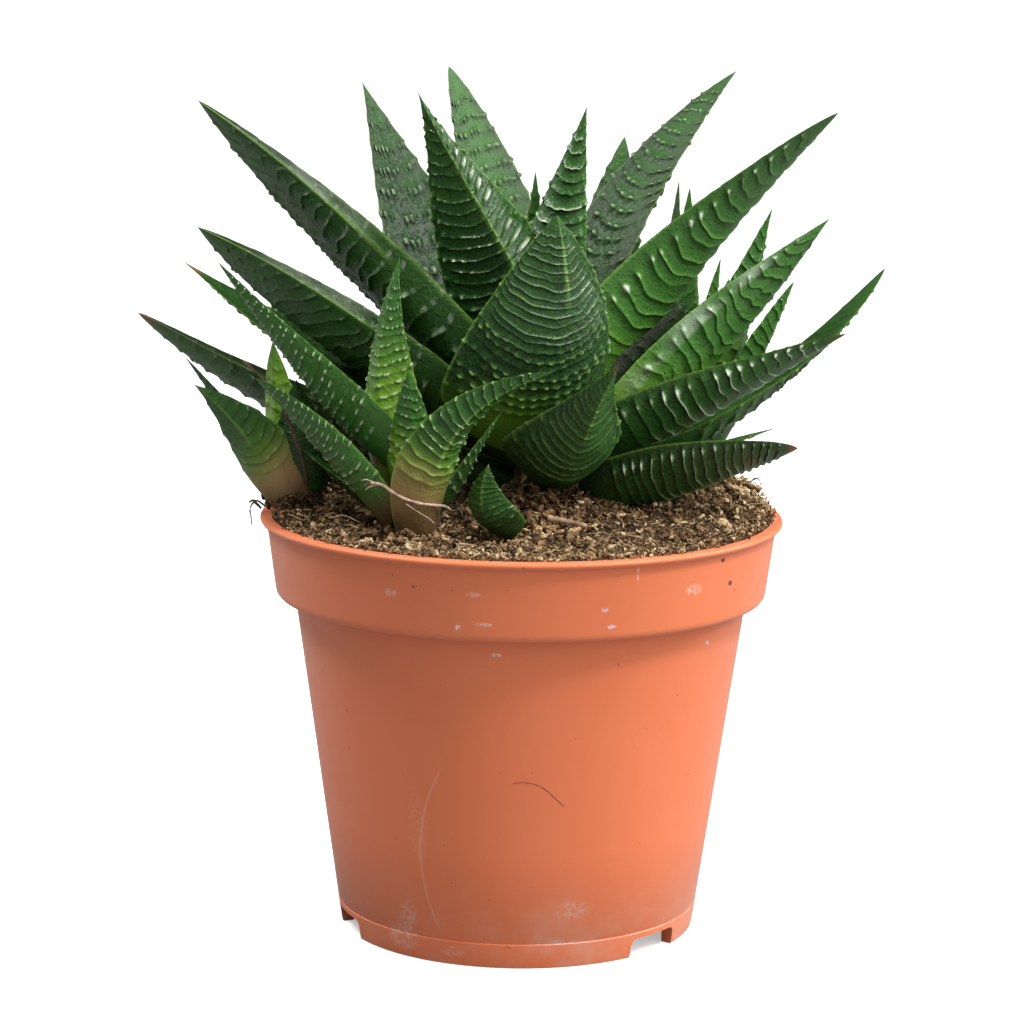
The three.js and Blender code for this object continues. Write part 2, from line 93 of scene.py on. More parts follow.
# Marks on the pot: middle and half sizes in millimetres, strength and colour as light
CHALK = (0.8, 0.66, 0.6)
LILAC = (0.72, 0.6, 0.72)
DIRT = (0.1, 0.03, 0.015)
DUST = (0.72, 0.46, 0.36)
POT_MARKS = (
    ((-11.8, -48.3, 70.8), (0.7, 3, 0.9), 0.9, CHALK),
    ((-7.1, -49.3, 71.6), (2.2, 3, 0.5), 0.8, CHALK),
    ((15.8, -47.5, 74.4), (0.8, 3, 0.6), 0.95, LILAC),
    ((17.2, -46.6, 70.9), (1, 3, 0.5), 0.95, LILAC),
    ((-4.8, -44.8, 64.8), (1.5, 3, 0.4), 0.95, CHALK),
    ((36.5, -27, 63.5), (0.5, 3, 0.7), 0.9, LILAC),
    ((33, -38, 76.5), (2.4, 3, 1.4), 0.45, CHALK),
    ((-24.5, -43.5, 76.5), (1.8, 3, 1), 0.4, CHALK),
    ((-9, -49, 77.5), (2, 3, 0.7), 0.4, CHALK),
    ((22, -46, 81.2), (0.28, 3, 2.6), 0.7, (0.86, 0.56, 0.38)),
    ((38.7, -32.9, 81.4), (0.5, 3, 0.6), 1, DIRT),
    ((40.4, -30, 76.3), (0.5, 3, 0.7), 1, DIRT),
    ((6.5, -40, 54), (3.5, 3, 1.2), 0.25, CHALK),
    ((-21.6, -31.2, 9), (2.4, 4, 4), 0.6, DUST),
    ((-13, -35, 2.8), (3.5, 3, 1.6), 0.5, DUST),
    ((-22.5, -29, 4), (4.5, 5, 3.2), 0.6, DUST),
    ((11, -36.5, 12), (4.5, 3, 2.6), 0.5, DUST),
    ((9, -36.5, 5.4), (8, 4, 0.7), 0.6, DUST),
    ((-20, -36, 26), (3, 4, 12), 0.16, DUST),
)

# How high the dust reaches up the pot, and the scratch on its front: where its middle
# stands, how far it runs up and down from there and how far its ends bow aside
DUST_HEIGHT = 22
SCRATCH_X = -19
SCRATCH_MIDDLE = 24
SCRATCH_REACH = 17
SCRATCH_BOW = 4

# Soil, in millimetres, as in the part's source
SOIL_LEVEL = 84.2
SOIL_EDGE_DROP = 0.9
SOIL_EDGE_SHARE = 0.9
SOIL_MOUNDS = (
    (6, -7, 6.5, 16),
    (-21, -20, 1.6, 9),
    (-44, -8, 4, 8),
    (30, -3, 4.5, 16),
    (34, 27, 4, 12),
    (40, 14, 2.6, 11),
)
SOIL_LUMP = 0.35
SOIL_RADIUS = COLLAR_TOP_RADIUS - WALL - 0.3

# Dressing of the soil, in millimetres: how deep its skin is and how finely it is cut, how
# far out crumbs lie, how light they are and how much painted shade makes them lighter on
# small hills and darker in hollows, the points of a fibre, and the pebble
SOIL_DEPTH = 8
GROUND_RINGS = 84
GROUND_SPOKES = 240
LITTER_RADIUS = RIM_RADIUS - 1.2
CLOD_TONE = 0.88
CLOD_PAINTED_SHADE = 0.6
FIBRE_STEPS = 6
PEBBLE_SIZE = (0.9, 1.2, 1.5)
PEBBLE_PLACE = (47.2, 12.5, 85.9)

# Leaf form, as in the part's source: outline, section and ridge rows
WIDEST = 0.3
DEPTH_TAPER = 0.7
THICKEST = 0.8
KEEL_SHARE = 1.15
MARGIN_LIFT = 0.4
BACK_ROUND = 0.9
FACE_HOLLOW = 0.18
FACE_SWELL = 0.35
RIDGE_START = 0.15
RIDGE_END = 0.96
TIP_START = 0.995
RIDGE_CROWDING = 0.9

# Where the samples of one ridge row lie, from its lip towards the tip, and how far on
# from its place the lip stands and how soon it rises
ROW_SAMPLES = (0, 0.04, 0.075, 0.11, 0.16, 0.22, 0.31, 0.46, 0.72)
LIP_AT = 0.42
LIP_RISE = 0.1

# Root width and root thickness of the three kinds of leaf
MAIN = (0.42, 0.6)
PUP = (0.68, 0.7)
SLIM = (0.55, 0.6)

# What most leaves have in common. Form, as in the part's source: rise and sway bow the
# middle line up and sideways, in millimetres, roll turns the leaf about it, in degrees,
# keel is where the keel stands across the leaf, from -1 to 1, and full and taper shape
# the outline.
# Ridges: rib is how wide they are, plate how high the skin stays behind each of them,
# wavy how unevenly they run, arch and lean how far they run bowed and askew, relief how
# bold they are and face how bold on the upper side. pads is where they broaden into
# glossy cushions and reach where they run across the leaf. beads is how far they break
# into dots, low_beads how much more so near the root and pitch how far apart the dots
# stand. knob is how high their upper ends stand, top the side of them and knob_at their
# place. crisp is where along the leaf the keel turns sharp.
# Colours: line_at is where a pale line runs beside a smooth margin. tone is how light the
# green is, pale how pale the crests are and matt how little the leaf shines. glow and dry
# are how far the yellow-green and the tan foot reach, burnt marks a brown tip, spots a
# freckled foot and dull a greyish skin. pearl paints white highlights on the
# cushions, sparkle painted glints on the dots, band a painted sheen on the skin
# along one margin and shine painted glints on the crests near the tip.
# A place of 2 is beyond the margin, so there is none.
NOWHERE = (2, 3)
USUAL = dict(
    rise=0, sway=0, roll=0, keel=0, full=0.35, taper=0.95,
    rib=0.1, plate=0.28, wavy=1, arch=0.045, lean=0, relief=1, face=0.4, pads=NOWHERE,
    reach=(-0.9, 0.9), beads=0.3, low_beads=0.3, pitch=2.5, knob=0, top=1, knob_at=0.74,
    crisp=0.45, line_at=2, tone=0.5, pale=0.4, matt=0, glow=0, dry=0, burnt=0, spots=0, dull=0,
    pearl=0, sparkle=0, band=NOWHERE, shine=NOWHERE,
)


def leaf_row(name, kind, root, tip, width, thick, rows, **own):
    """One leaf: its ends, width and thickness in millimetres, how many ridges are seen on
    the real one, and all in which it isn't as usual."""
    return {"name": name, "kind": kind, "root": root, "tip": tip, "width": width,
            "thick": thick, "rows": rows, **USUAL, **own}


LEAVES = (
    leaf_row("main_leaf_01", MAIN, (-2, -7, 100), (6, -24, 146.5), 37, 9, 23, rise=-4, roll=5,
             keel=0.25, full=0.8, beads=0.05, low_beads=0.95, wavy=1.4, crisp=0.66, arch=0.13,
             tone=0.08, matt=0.5, pale=0.6, glow=0.16, relief=0.85, shine=(0.42, 0.78)),
    leaf_row("main_leaf_02", MAIN, (9.1, -2, 104.5), (-21.5, -5, 169), 25, 10.8, 22, rise=-0.8,
             sway=-5.5, roll=85, keel=0.34, full=1.4, taper=1.59, beads=0.35, reach=(-0.85, 0.95),
             pads=(0.48, 0.84), crisp=0.2, tone=0.2, pale=0.6, relief=1.3, pearl=0.8),
    leaf_row("main_leaf_03", MAIN, (-1.7, 4, 104.1), (12, 4, 165.5), 19, 5.8, 16, roll=-108,
             full=0.3, taper=1.12, beads=0.1, low_beads=0.1, rib=0.2, wavy=0.6, crisp=1.5,
             tone=0.35, pale=0.5, relief=1.35, pearl=0.55),
    leaf_row("main_leaf_04", MAIN, (5.9, -8, 93.3), (18, -38, 120), 24.5, 9.9, 20, rise=-2.3,
             sway=-2.1, roll=-2, full=0.64, taper=1.36, beads=0, low_beads=0.2, crisp=0.55,
             arch=0.12, tone=0.22, pale=0.45, burnt=0.35, relief=0.75, matt=0.2),
    leaf_row("main_leaf_05", MAIN, (9.9, -3, 97), (63, -14, 123), 21, 8.5, 18, sway=0.7, roll=-21,
             full=0.77, taper=0.87, beads=0, low_beads=0.1, reach=(-0.95, 0.95), rib=0.14,
             wavy=0.5, knob=1.1, top=-1, knob_at=0.86, crisp=0.85, arch=0.03, tone=0.4, pale=0.5,
             burnt=0.5, lean=0.03, pearl=0.55),
    leaf_row("main_leaf_06", MAIN, (0, -5, 98.2), (61, -6, 165.5), 30.3, 10, 20, rise=2.2,
             sway=11.6, roll=-24, keel=0.18, full=0.5, taper=0.76, beads=0, low_beads=0.2,
             reach=(-0.95, 0.97), wavy=1.2, knob=1.5, top=-1, knob_at=0.77, crisp=0.9, arch=0.03,
             tone=0.8, pale=0.6, glow=0.3, relief=0.6, lean=0.03, plate=0.12),
    leaf_row("main_leaf_07", MAIN, (0.4, -3, 101.7), (-64, -8, 166.5), 23.2, 7.6, 19, rise=0.3,
             sway=-4.4, roll=29, keel=0.4, full=1.33, taper=0.89, beads=0.35, low_beads=0.1,
             reach=(-0.9, 0.78), wavy=1.6, line_at=0.84, crisp=1.5, tone=0.3, pale=0.35,
             relief=1.2, lean=-0.03, knob=0.2, knob_at=0.68, band=(0.8, 1.05), sparkle=0.3,
             pitch=1.6),
    leaf_row("main_leaf_08", MAIN, (-1, -5, 96.2), (-64, -10, 142), 22.2, 5.9, 18, rise=-0.6,
             sway=-4.1, roll=34, keel=0.4, full=1.4, taper=0.88, low_beads=0.1,
             reach=(-0.9, 0.76), wavy=1.4, line_at=0.82, crisp=1.5, tone=0.35, pale=0.35,
             relief=1.1, dull=0.1, lean=-0.03, knob=0.2, knob_at=0.66, band=(0.8, 1.05),
             sparkle=0.3, pitch=1.6),
    leaf_row("main_leaf_09", MAIN, (12, -5, 88), (54, -16, 100.5), 19, 8, 20, rise=1.1, sway=-4,
             roll=-29, full=1.3, taper=0.75, beads=0, low_beads=0.1, reach=(-0.95, 0.95),
             rib=0.13, wavy=1.1, knob=0.5, top=-1, knob_at=0.84, crisp=0.95, tone=0.1, pale=0.45,
             burnt=1, pearl=0.15),
    leaf_row("main_leaf_10", MAIN, (13, 1, 95), (61.5, 12, 143), 22.5, 5.8, 17, rise=-0.7,
             sway=1.5, roll=-45, full=1.4, taper=1.08, wavy=1.4, knob=0.6, top=-1, knob_at=0.84,
             crisp=0.9, tone=0.7, pale=0.3, glow=0.36, relief=0.7, arch=0.03, lean=0.03,
             band=(-1.05, -0.66), plate=0.15),
    leaf_row("main_leaf_11", MAIN, (5.4, 4, 102.5), (43.5, 36, 171), 18.7, 7, 20, rise=7.4,
             sway=0.8, roll=6, full=0.8, beads=0.75, wavy=0.7, crisp=0.4, tone=0.25, matt=0.45,
             pale=0.35, dull=0.35, face=1.3, sparkle=0.25),
    leaf_row("main_leaf_12", MAIN, (-7.2, 5, 100.6), (-34, 35, 168), 21, 5.3, 11, rise=0.7,
             roll=-17, full=0.9, taper=1.17, beads=1, tone=0.1, matt=0.35, pale=0.25, face=1.3,
             wavy=0.6, dull=0.2, sparkle=0.3, pitch=1.8),
    leaf_row("main_leaf_13", MAIN, (4.7, 8, 102), (-16, 32, 171.5), 20.3, 5, 15, rise=1.5,
             sway=-1.3, roll=-5, full=0.55, taper=0.8, beads=1, tone=0.4, matt=0.35, pale=0.35,
             face=1.5, wavy=0.6, dull=0.3, sparkle=0.25, pitch=1.8),
    leaf_row("main_leaf_14", MAIN, (12, 12, 99), (20.5, 33, 157.5), 18, 5, 13, full=0.9,
             beads=0.8, matt=0.5, pale=0.25, face=0.8, dull=0.3),
    leaf_row("main_leaf_15", MAIN, (9.9, 3, 91.7), (75.2, 33, 130.8), 20.8, 5.7, 18, rise=-6.3,
             sway=-3.3, roll=-11, full=0.9, taper=0.75, beads=0.4, tone=0.4, matt=0.3, pale=0.3,
             relief=0.9),
    leaf_row("main_leaf_16", MAIN, (-1.5, 1, 94), (-69, 14, 132.5), 19, 6.5, 14, rise=-2.3,
             roll=-15, full=1, taper=1.16, beads=0.5, tone=0.15, pale=0.25, burnt=0.9, relief=0.9,
             sparkle=0.35),
    leaf_row("main_leaf_17", MAIN, (-1.2, 3, 90.8), (-77.3, 3, 123.4), 17.8, 6, 15, rise=-4.7,
             roll=33, full=0.9, taper=0.75, beads=0.5, reach=(-0.9, 0.76), line_at=0.82,
             crisp=1.5, tone=0.4, pale=0.3, burnt=0.6, dull=0.35, relief=0.9, sparkle=0.3,
             knob=0.25, knob_at=0.66, lean=-0.03, pitch=1.6),
    leaf_row("main_leaf_18", SLIM, (10, 1, 88), (51, 6, 101), 9, 3.5, 11, full=0.5, tone=0.6),
    leaf_row("main_leaf_19", SLIM, (2, 7, 107), (2, 10, 152), 7, 3, 11, full=0.4),
    leaf_row("main_leaf_20", MAIN, (-2, 6, 98), (-24, 53, 132), 20, 7, 15, rise=-2, full=0.5,
             beads=0.2, tone=0.35),
    leaf_row("main_leaf_21", MAIN, (4, 6, 96), (2, 53, 118), 20, 7, 15, rise=-3, full=0.5,
             beads=0.2, tone=0.25),
    leaf_row("main_leaf_22", MAIN, (-4, 4, 92), (-44, 44, 112), 18, 7, 14, rise=-2, full=0.5,
             beads=0.2, tone=0.3, burnt=0.4),
    leaf_row("front_pup_leaf_1", PUP, (-19.3, -29, 85.5), (6, -36, 118), 13.4, 5.2, 19, rise=7.6,
             sway=-4.9, roll=-43, full=0.05, taper=0.86, beads=0.2, low_beads=0.25,
             reach=(-0.9, 0.85), crisp=0.3, tone=0.3, pale=1, glow=0.38, dry=0.24, relief=0.95,
             pearl=0.2),
    leaf_row("front_pup_leaf_2", PUP, (-25.3, -24, 86.8), (-51.5, -28, 115), 9.5, 4.2, 20,
             rise=1.3, roll=30, full=1.2, taper=0.8, beads=0.9, crisp=0.8, tone=0.6, dry=0.06,
             relief=0.8, sparkle=0.5, pitch=1.7),
    leaf_row("front_pup_leaf_3", PUP, (-22.9, -17.5, 89.2), (-24, -22, 138.3), 16, 6.8, 19,
             rise=1.4, sway=-3.7, roll=-19, full=0.15, taper=1.17, beads=0.9, crisp=0.3,
             tone=0.75, pale=0.5, glow=0.6, dry=0.06, spots=1, relief=0.8, sparkle=0.6, pitch=1.9),
    leaf_row("front_pup_leaf_4", SLIM, (-21, -24, 90), (-22, -31, 117), 10, 4, 11, full=0.6,
             beads=0.8, tone=0.6, pale=0.5, glow=0.55, spots=0.6, relief=0.7, sparkle=0.6,
             pitch=1.7),
    leaf_row("front_pup_leaf_5", PUP, (-20, -21, 95), (-59, -22, 136.5), 16.5, 5.8, 25, rise=-1.3,
             sway=-1.4, roll=26, full=0.65, taper=1.1, beads=0.9, crisp=0.8, tone=0.9, relief=0.8,
             sparkle=0.6, pitch=1.7),
    leaf_row("front_pup_leaf_6", SLIM, (-25, -18, 86), (-43.5, -14, 99), 8, 3, 8, full=0.6,
             beads=0.7, tone=0.1, relief=0.6),
    leaf_row("front_pup_leaf_7", SLIM, (-17.5, -23, 87.5), (-4, -25, 108.7), 7, 3, 11, full=0.5,
             beads=0.9, tone=0.3, relief=0.7, sparkle=0.6, pitch=1.7),
    leaf_row("left_pup_leaf_1", PUP, (-46.1, -11, 87.7), (-64.6, -15, 111.7), 12.7, 4.2, 12,
             rise=2.2, sway=-0.7, roll=62, full=1, taper=1.25, tone=0.4, glow=0.45, dry=0.3,
             relief=0.5, sparkle=0.3),
    leaf_row("left_pup_leaf_2", SLIM, (-44, -8, 90), (-49.5, -8, 119.5), 11, 4, 8, rise=-1,
             roll=60, full=0.5, beads=0.6, tone=0.6, glow=0.9, relief=0.35),
    leaf_row("left_pup_leaf_3", SLIM, (-41.5, -9, 90), (-44.5, -13, 112.5), 12, 4, 10, rise=-1,
             roll=40, full=0.6, beads=0.6, tone=0.1, relief=0.6),
    leaf_row("left_pup_leaf_4", SLIM, (-45.5, -8, 89), (-66.7, -8, 116), 10, 4, 11, roll=20,
             full=0.4, beads=0.6, tone=0.3, burnt=0.7, relief=0.6),
    leaf_row("right_pup_leaf_1", PUP, (34.9, 32, 91.4), (51.4, 33, 143), 18, 6.2, 14, rise=-0.3,
             roll=-49, full=0.6, taper=1.2, beads=0.4, glow=0.4, relief=0.8),
    leaf_row("right_pup_leaf_2", PUP, (36.4, 28.5, 89.4), (56, 29, 128.2), 14.7, 5.3, 13,
             roll=-28, full=0.6, taper=0.8, beads=0.4, tone=0.45, relief=0.8),
    leaf_row("right_pup_leaf_3", SLIM, (29.5, 30, 91), (31.9, 32, 148.7), 9, 4, 13, full=0.4,
             beads=0.4, relief=0.7),
    leaf_row("right_pup_leaf_4", SLIM, (32.5, 35.5, 91), (34.6, 41, 146.5), 10, 4, 13, full=0.4,
             beads=0.4, relief=0.7),
    leaf_row("right_pup_leaf_5", SLIM, (33.5, 26.5, 91), (40.3, 22, 133.7), 12, 4, 11, full=0.4,
             beads=0.4, tone=0.6, glow=0.7, relief=0.7),
    leaf_row("right_pup_leaf_6", PUP, (35, 34, 90), (44, 53, 126), 14, 5, 13, rise=-2, full=0.5,
             beads=0.4, tone=0.4, relief=0.8),
    leaf_row("shoot_leaf", PUP, (-2, -31, 86.6), (-6.5, -35, 100), 11.5, 3.9, 12, rise=-3.6,
             roll=11, full=1.3, taper=1.15, beads=0.1, crisp=0.5, tone=0.25, pale=0.55, burnt=0.3,
             relief=0.5, sparkle=0.5),
)

# Old leaves that have dried up against the ones in front of them
DRY_LEAVES = (
    leaf_row("dry_leaf_right", SLIM, (10.5, 3, 100), (33, 8, 126), 15, 2.5, 9, rise=-1, roll=-50,
             full=0.9, beads=0.8, tone=0, matt=1, dull=0.75, relief=0.4),
    leaf_row("dry_leaf_left", SLIM, (-9, 7, 91), (-44, 12, 95.5), 13, 3, 9, roll=40, full=0.9,
             beads=0.8, tone=0, matt=1, dull=0.3, relief=0.5),
)

STEMS = ("main_stem", "left_pup_stem", "front_pup_stem", "right_pup_stem", "shoot_stem")


# Selection and mesh helpers


def deselect_all():
    for thing in bpy.context.selected_objects:
        thing.select_set(False)


def make_active(thing):
    deselect_all()
    thing.select_set(True)
    bpy.context.view_layer.objects.active = thing


def mesh_piece(name, points, faces, edges=()):
    """A new mesh object at the origin, with its place in its mesh."""
    mesh = bpy.data.meshes.new(name)
    mesh.from_pydata([tuple(p) for p in points], edges, faces)
    mesh.update()
    thing = bpy.data.objects.new(name, mesh)
    bpy.context.scene.collection.objects.link(thing)
    return thing


def smooth(thing):
    make_active(thing)
    bpy.ops.object.shade_smooth()


def ring_faces(rings, size):
    """Four-sided faces between rings of points, each ring closed on itself."""
    faces = []
    for ring in range(0, (rings - 1) * size, size):
        for k in range(size):
            after = (k + 1) % size
            faces.append((ring + k, ring + after, ring + size + after, ring + size + k))
    return faces


def closed_faces(rings, size):
    """Faces of a closed skin: rings of points, followed by a point for each of its ends."""
    last = (rings - 1) * size
    faces = ring_faces(rings, size)
    for k in range(size):
        after = (k + 1) % size
        faces.append((last + size, after, k))
        faces.append((last + size + 1, last + k, last + after))
    return faces


def point_values(thing, name, values):
    """Stores one number for each point of a mesh, for its material to read."""
    layer = thing.data.attributes.new(name, "FLOAT", "POINT")
    layer.data.foreach_set("value", np.asarray(values, np.float32).ravel())


def finish_piece(thing, material, slot, *replaced):
    thing.data.materials.clear()
    thing.data.materials.append(material)
    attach(thing, "root")
    if replaced:
        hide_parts(*replaced)


def rising(values, low, high):
    """A soft step from 0 to 1."""
    share = np.clip((values - low) / (high - low), 0, 1)
    return share * share * (3 - 2 * share)


def falling(values, low, high):
    return 1 - rising(values, low, high)


def within(values, span, soft):
    """1 inside a span and 0 outside, with soft ends."""
    low, high = span
    return rising(values, low, low + soft) * falling(values, high - soft, high)


def ripple(seed, a, b, count=5):
    """A smooth, seeded, never repeating unevenness over two coordinates, about -1 to 1."""
    draw = random.Random(seed)
    total = 0
    for _ in range(count):
        turn = draw.uniform(0, 2 * math.pi)
        pace = draw.uniform(0.6, 1.5)
        start = draw.uniform(0, 2 * math.pi)
        total = total + np.sin(pace * (a * math.cos(turn) + b * math.sin(turn)) + start)
    return total / math.sqrt(count)


# Materials


class Shader:
    """The node tree of one material, built from its colours towards its surface."""

    def __init__(self, name):
        self.material = bpy.data.materials.new(name)
        self.material.use_nodes = True
        self.tree = self.material.node_tree
        self.surface = self.tree.nodes["Principled BSDF"]

    def put(self, value, socket):
        if isinstance(value, bpy.types.NodeSocket):
            self.tree.links.new(value, socket)
        else:
            socket.default_value = value

    def add(self, kind, **settings):
        node = self.tree.nodes.new(kind)
        for key, value in settings.items():
            if hasattr(node, key):
                setattr(node, key, value)
            else:
                self.put(value, node.inputs[key.replace("_", " ")])
        return node

    def place(self):
        return self.add("ShaderNodeTexCoord").outputs["Object"]

    def value(self, name):
        return self.add("ShaderNodeAttribute", attribute_name=name).outputs["Fac"]

    def noise(self, scale, detail=3.0, roughness=0.55, vector=None):
        node = self.add("ShaderNodeTexNoise", Scale=scale, Detail=detail, Roughness=roughness,
                        Vector=vector or self.place())
        return node.outputs["Fac"]

    def ramp(self, value, low, high, low_value=0.0, high_value=1.0):
        node = self.add("ShaderNodeMapRange", interpolation_type="SMOOTHSTEP", Value=value,
                        From_Min=low, From_Max=high, To_Min=low_value, To_Max=high_value)
        return node.outputs["Result"]

    def math(self, operation, a, b=0.0):
        node = self.add("ShaderNodeMath", operation=operation)
        self.put(a, node.inputs[0])
        self.put(b, node.inputs[1])
        return node.outputs["Value"]

    def times(self, a, b):
        return self.math("MULTIPLY", a, b)

    def plus(self, a, b):
        return self.math("ADD", a, b)

    def mix(self, share, a, b):
        node = self.add("ShaderNodeMix", data_type="RGBA")
        values = {"Factor": share, "A": a, "B": b}
        for socket in node.inputs:
            if socket.enabled and socket.name in values:
                item = values[socket.name]
                if socket.name != "Factor" and not isinstance(item, bpy.types.NodeSocket):
                    item = (*item, 1)
                self.put(item, socket)
        return next(s for s in node.outputs if s.enabled)

    def layers(self, colour, layers):
        """Lays one colour after another over the first, each with its share."""
        for share, tone in layers:
            colour = self.mix(share, colour, tone)
        return colour

    def bump(self, height, distance, strength=1.0):
        node = self.add("ShaderNodeBump", Distance=distance, Strength=strength, Height=height)
        self.put(node.outputs["Normal"], self.surface.inputs["Normal"])

    def finish(self, **settings):
        """Sets or links the inputs of the surface."""
        for name, value in settings.items():
            self.put(value, self.surface.inputs[name.replace("_", " ")])
        return self.material


def linear(red, green, blue):
    """A colour as the eye names it, from 0 to 255, as the light that it reflects."""
    shares = (red / 255, green / 255, blue / 255)
    return tuple(c / 12.92 if c < 0.04045 else ((c + 0.055) / 1.055) ** 2.4 for c in shares)


def leaf_material():
    look = bpy.context.scene.haworthia_leaves
    shader = Shader("Waxy Leaf")
    noise, ramp, value = shader.noise, shader.ramp, shader.value
    times, plus = shader.times, shader.plus
    tan_foot, dull = value("tan_foot"), value("dull")
    cloud = noise(90, 4, 0.6)
    grain = noise(1500, 3, 0.6)
    shade = ramp(plus(value("tone"), times(cloud, 0.5)), 0.1, 1.2)
    earthy = shader.mix(noise(240, 5), linear(164, 144, 92), linear(128, 98, 60))
    colour = shader.layers(shader.mix(shade, look.dark_green, look.light_green), (
        (ramp(grain, 0.38, 0.72, 0, 0.42), look.light_green),
        (times(value("foot"), 0.85), look.foot_green),
        (tan_foot, earthy),
        (times(value("earthed"), 0.7), linear(70, 40, 28)),
        # Painted shade darkens the grooves below the ridges
        (times(value("painted_groove_shade"), 0.6), linear(7, 24, 9)),
        (value("crest"), look.crest_green),
        (times(value("edge"), 0.5), look.crest_green),
        # Painted highlights and sheen: white laid on knobs, cushions, dots, crests and along one
        # margin
        (times(value("pearl"), 0.75), linear(218, 228, 208)),
        (times(ramp(noise(210, 2), 0.56, 0.64), value("spots")), linear(160, 62, 26)),
        (dull, linear(70, 66, 62)),
        (value("tip_dry"), linear(140, 92, 56)),
    ))
    rough = plus(ramp(cloud, 0.3, 0.8, 0.17, 0.26), times(plus(tan_foot, dull), 0.2))
    rough = plus(rough, times(ramp(value("raised"), 0.1, 0.8, 1, 0), 0.2))
    rough = plus(rough, times(value("matt"), 0.22))
    pimples = ramp(noise(1050, 1, 0.4), 0.52, 0.68)
    relief = plus(plus(times(grain, 0.6), noise(420, 3)), times(pimples, 0.6))
    shader.bump(relief, 0.0002, 0.7)
    return shader.finish(Base_Color=colour, Roughness=rough, Specular_IOR_Level=0.4)


def spot(shader, place, centre, size):
    """How near a point lies to a mark on the pot: 1 in its middle and 0 at its edge."""
    shares = [1 / (side * MM) for side in size]
    moved = [-at * MM * share for at, share in zip(centre, shares)]
    local = shader.add("ShaderNodeMapping", Scale=shares, Location=moved, Vector=place)
    far = shader.add("ShaderNodeVectorMath", operation="LENGTH", Vector=local.outputs["Vector"])
    return shader.ramp(far.outputs["Value"], 0.5, 1, 1, 0)


def scratch_line(shader, place):
    """A long, fine, bowed scratch down the front of the pot."""
    times, ramp = shader.times, shader.ramp
    parts = shader.add("ShaderNodeSeparateXYZ", Vector=place).outputs
    height = shader.math("SUBTRACT", parts["Z"], SCRATCH_MIDDLE * MM)
    share = times(height, 1 / (SCRATCH_REACH * MM))
    bow = times(times(share, share), SCRATCH_BOW * MM)
    gap = shader.math("SUBTRACT", parts["X"], shader.plus(bow, SCRATCH_X * MM))
    line = ramp(shader.math("ABSOLUTE", gap), 0.1 * MM, 0.32 * MM, 1, 0)
    line = times(line, ramp(shader.math("ABSOLUTE", share), 0.85, 1.05, 1, 0))
    return times(line, ramp(parts["Y"], -20 * MM, -10 * MM, 1, 0))


def pot_material():
    look = bpy.context.scene.haworthia_pot
    shader = Shader("Terracotta Plastic")
    noise, ramp, times = shader.noise, shader.ramp, shader.times
    place = shader.place()
    height = shader.add("ShaderNodeSeparateXYZ", Vector=place).outputs["Z"]
    dusty = times(ramp(height, 0, DUST_HEIGHT * MM, 1, 0), ramp(noise(75, 6, 0.7), 0.42, 0.72))
    stretched = shader.add("ShaderNodeMapping", Scale=(1, 1, 0.35), Vector=place)
    scuff = ramp(noise(330, 5, 0.75, stretched.outputs["Vector"]), 0.69, 0.76)
    speck = ramp(noise(620, 2, 0.5), 0.74, 0.78)
    crumbly = ramp(noise(1300, 3, 0.7), 0.42, 0.58)
    layers = [
        (ramp(noise(28, 4, 0.6), 0.3, 0.75), look.worn_colour),
        (times(dusty, 0.32), linear(222, 190, 172)),
        (times(scuff, 0.55), linear(238, 214, 200)),
        (times(speck, 0.6), linear(110, 62, 44)),
    ]
    for centre, size, strength, tone in POT_MARKS:
        near = times(spot(shader, place, centre, size), strength)
        layers.append((times(near, crumbly) if strength < 1 else near, tone))
    layers.append((times(scratch_line(shader, place), 0.4), linear(232, 170, 140)))
    shader.bump(noise(900, 3), 0.00005, 0.5)
    return shader.finish(
        Base_Color=shader.layers(look.colour, layers), Specular_IOR_Level=0.5,
        Roughness=ramp(noise(140, 4), 0.3, 0.8, 0.36, 0.5), Sheen_Weight=0.12,
        Sheen_Roughness=0.45)


def soil_material(name, tones, scale):
    """Crumbs or fibres, in tones from dark to light; each has its own tone number."""
    shader = Shader(name)
    ramp = shader.ramp
    fine = shader.noise(scale * 2.4, 3, 0.7)
    share = shader.plus(shader.value("tone"), ramp(fine, 0.42, 0.66, -0.12, 0.34))
    dark, middle, light = tones
    colour = shader.layers(dark, (
        (ramp(share, 0, 0.55), middle),
        (ramp(share, 0.5, 1), light),
        (ramp(shader.noise(scale, 4, 0.6), 0.35, 0.75, 0, 0.5), dark),
    ))
    shader.bump(fine, 0.0006)
    return shader.finish(Base_Color=colour, Roughness=0.92, Specular_IOR_Level=0.2)


def plain_material(name, low, high, scale, roughness):
    """Two near tones that run into each other, for the small bits."""
    shader = Shader(name)
    share = shader.ramp(shader.noise(scale, 4), 0.3, 0.7)
    shader.bump(shader.noise(scale * 4, 3), 0.0001, 0.6)
    return shader.finish(Base_Color=shader.mix(share, linear(*low), linear(*high)),
                         Roughness=roughness)


# Leaves


def leaf_axes(leaf, along):
    """The middle line of a leaf and its two cross directions, at shares of its length."""
    root = np.array(leaf["root"], float)
    chord = np.array(leaf["tip"], float) - root
    level = np.cross((0, 0, 1), chord)
    level /= np.linalg.norm(level)
    upward = np.cross(chord / np.linalg.norm(chord), level)
    bow = upward * leaf["rise"] + level * leaf["sway"]
    share = along[:, None]
    middle = root + chord * share + bow * 4 * share * (1 - share)
    ahead = chord + bow * 4 * (1 - 2 * share)
    ahead /= np.linalg.norm(ahead, axis=1)[:, None]
    across = level - ahead * (ahead @ level)[:, None]
    across /= np.linalg.norm(across, axis=1)[:, None]
    upper = np.cross(ahead, across)
    roll = math.radians(leaf["roll"])
    turned = across * math.cos(roll) + upper * math.sin(roll)
    return middle, turned, upper * math.cos(roll) - across * math.sin(roll)


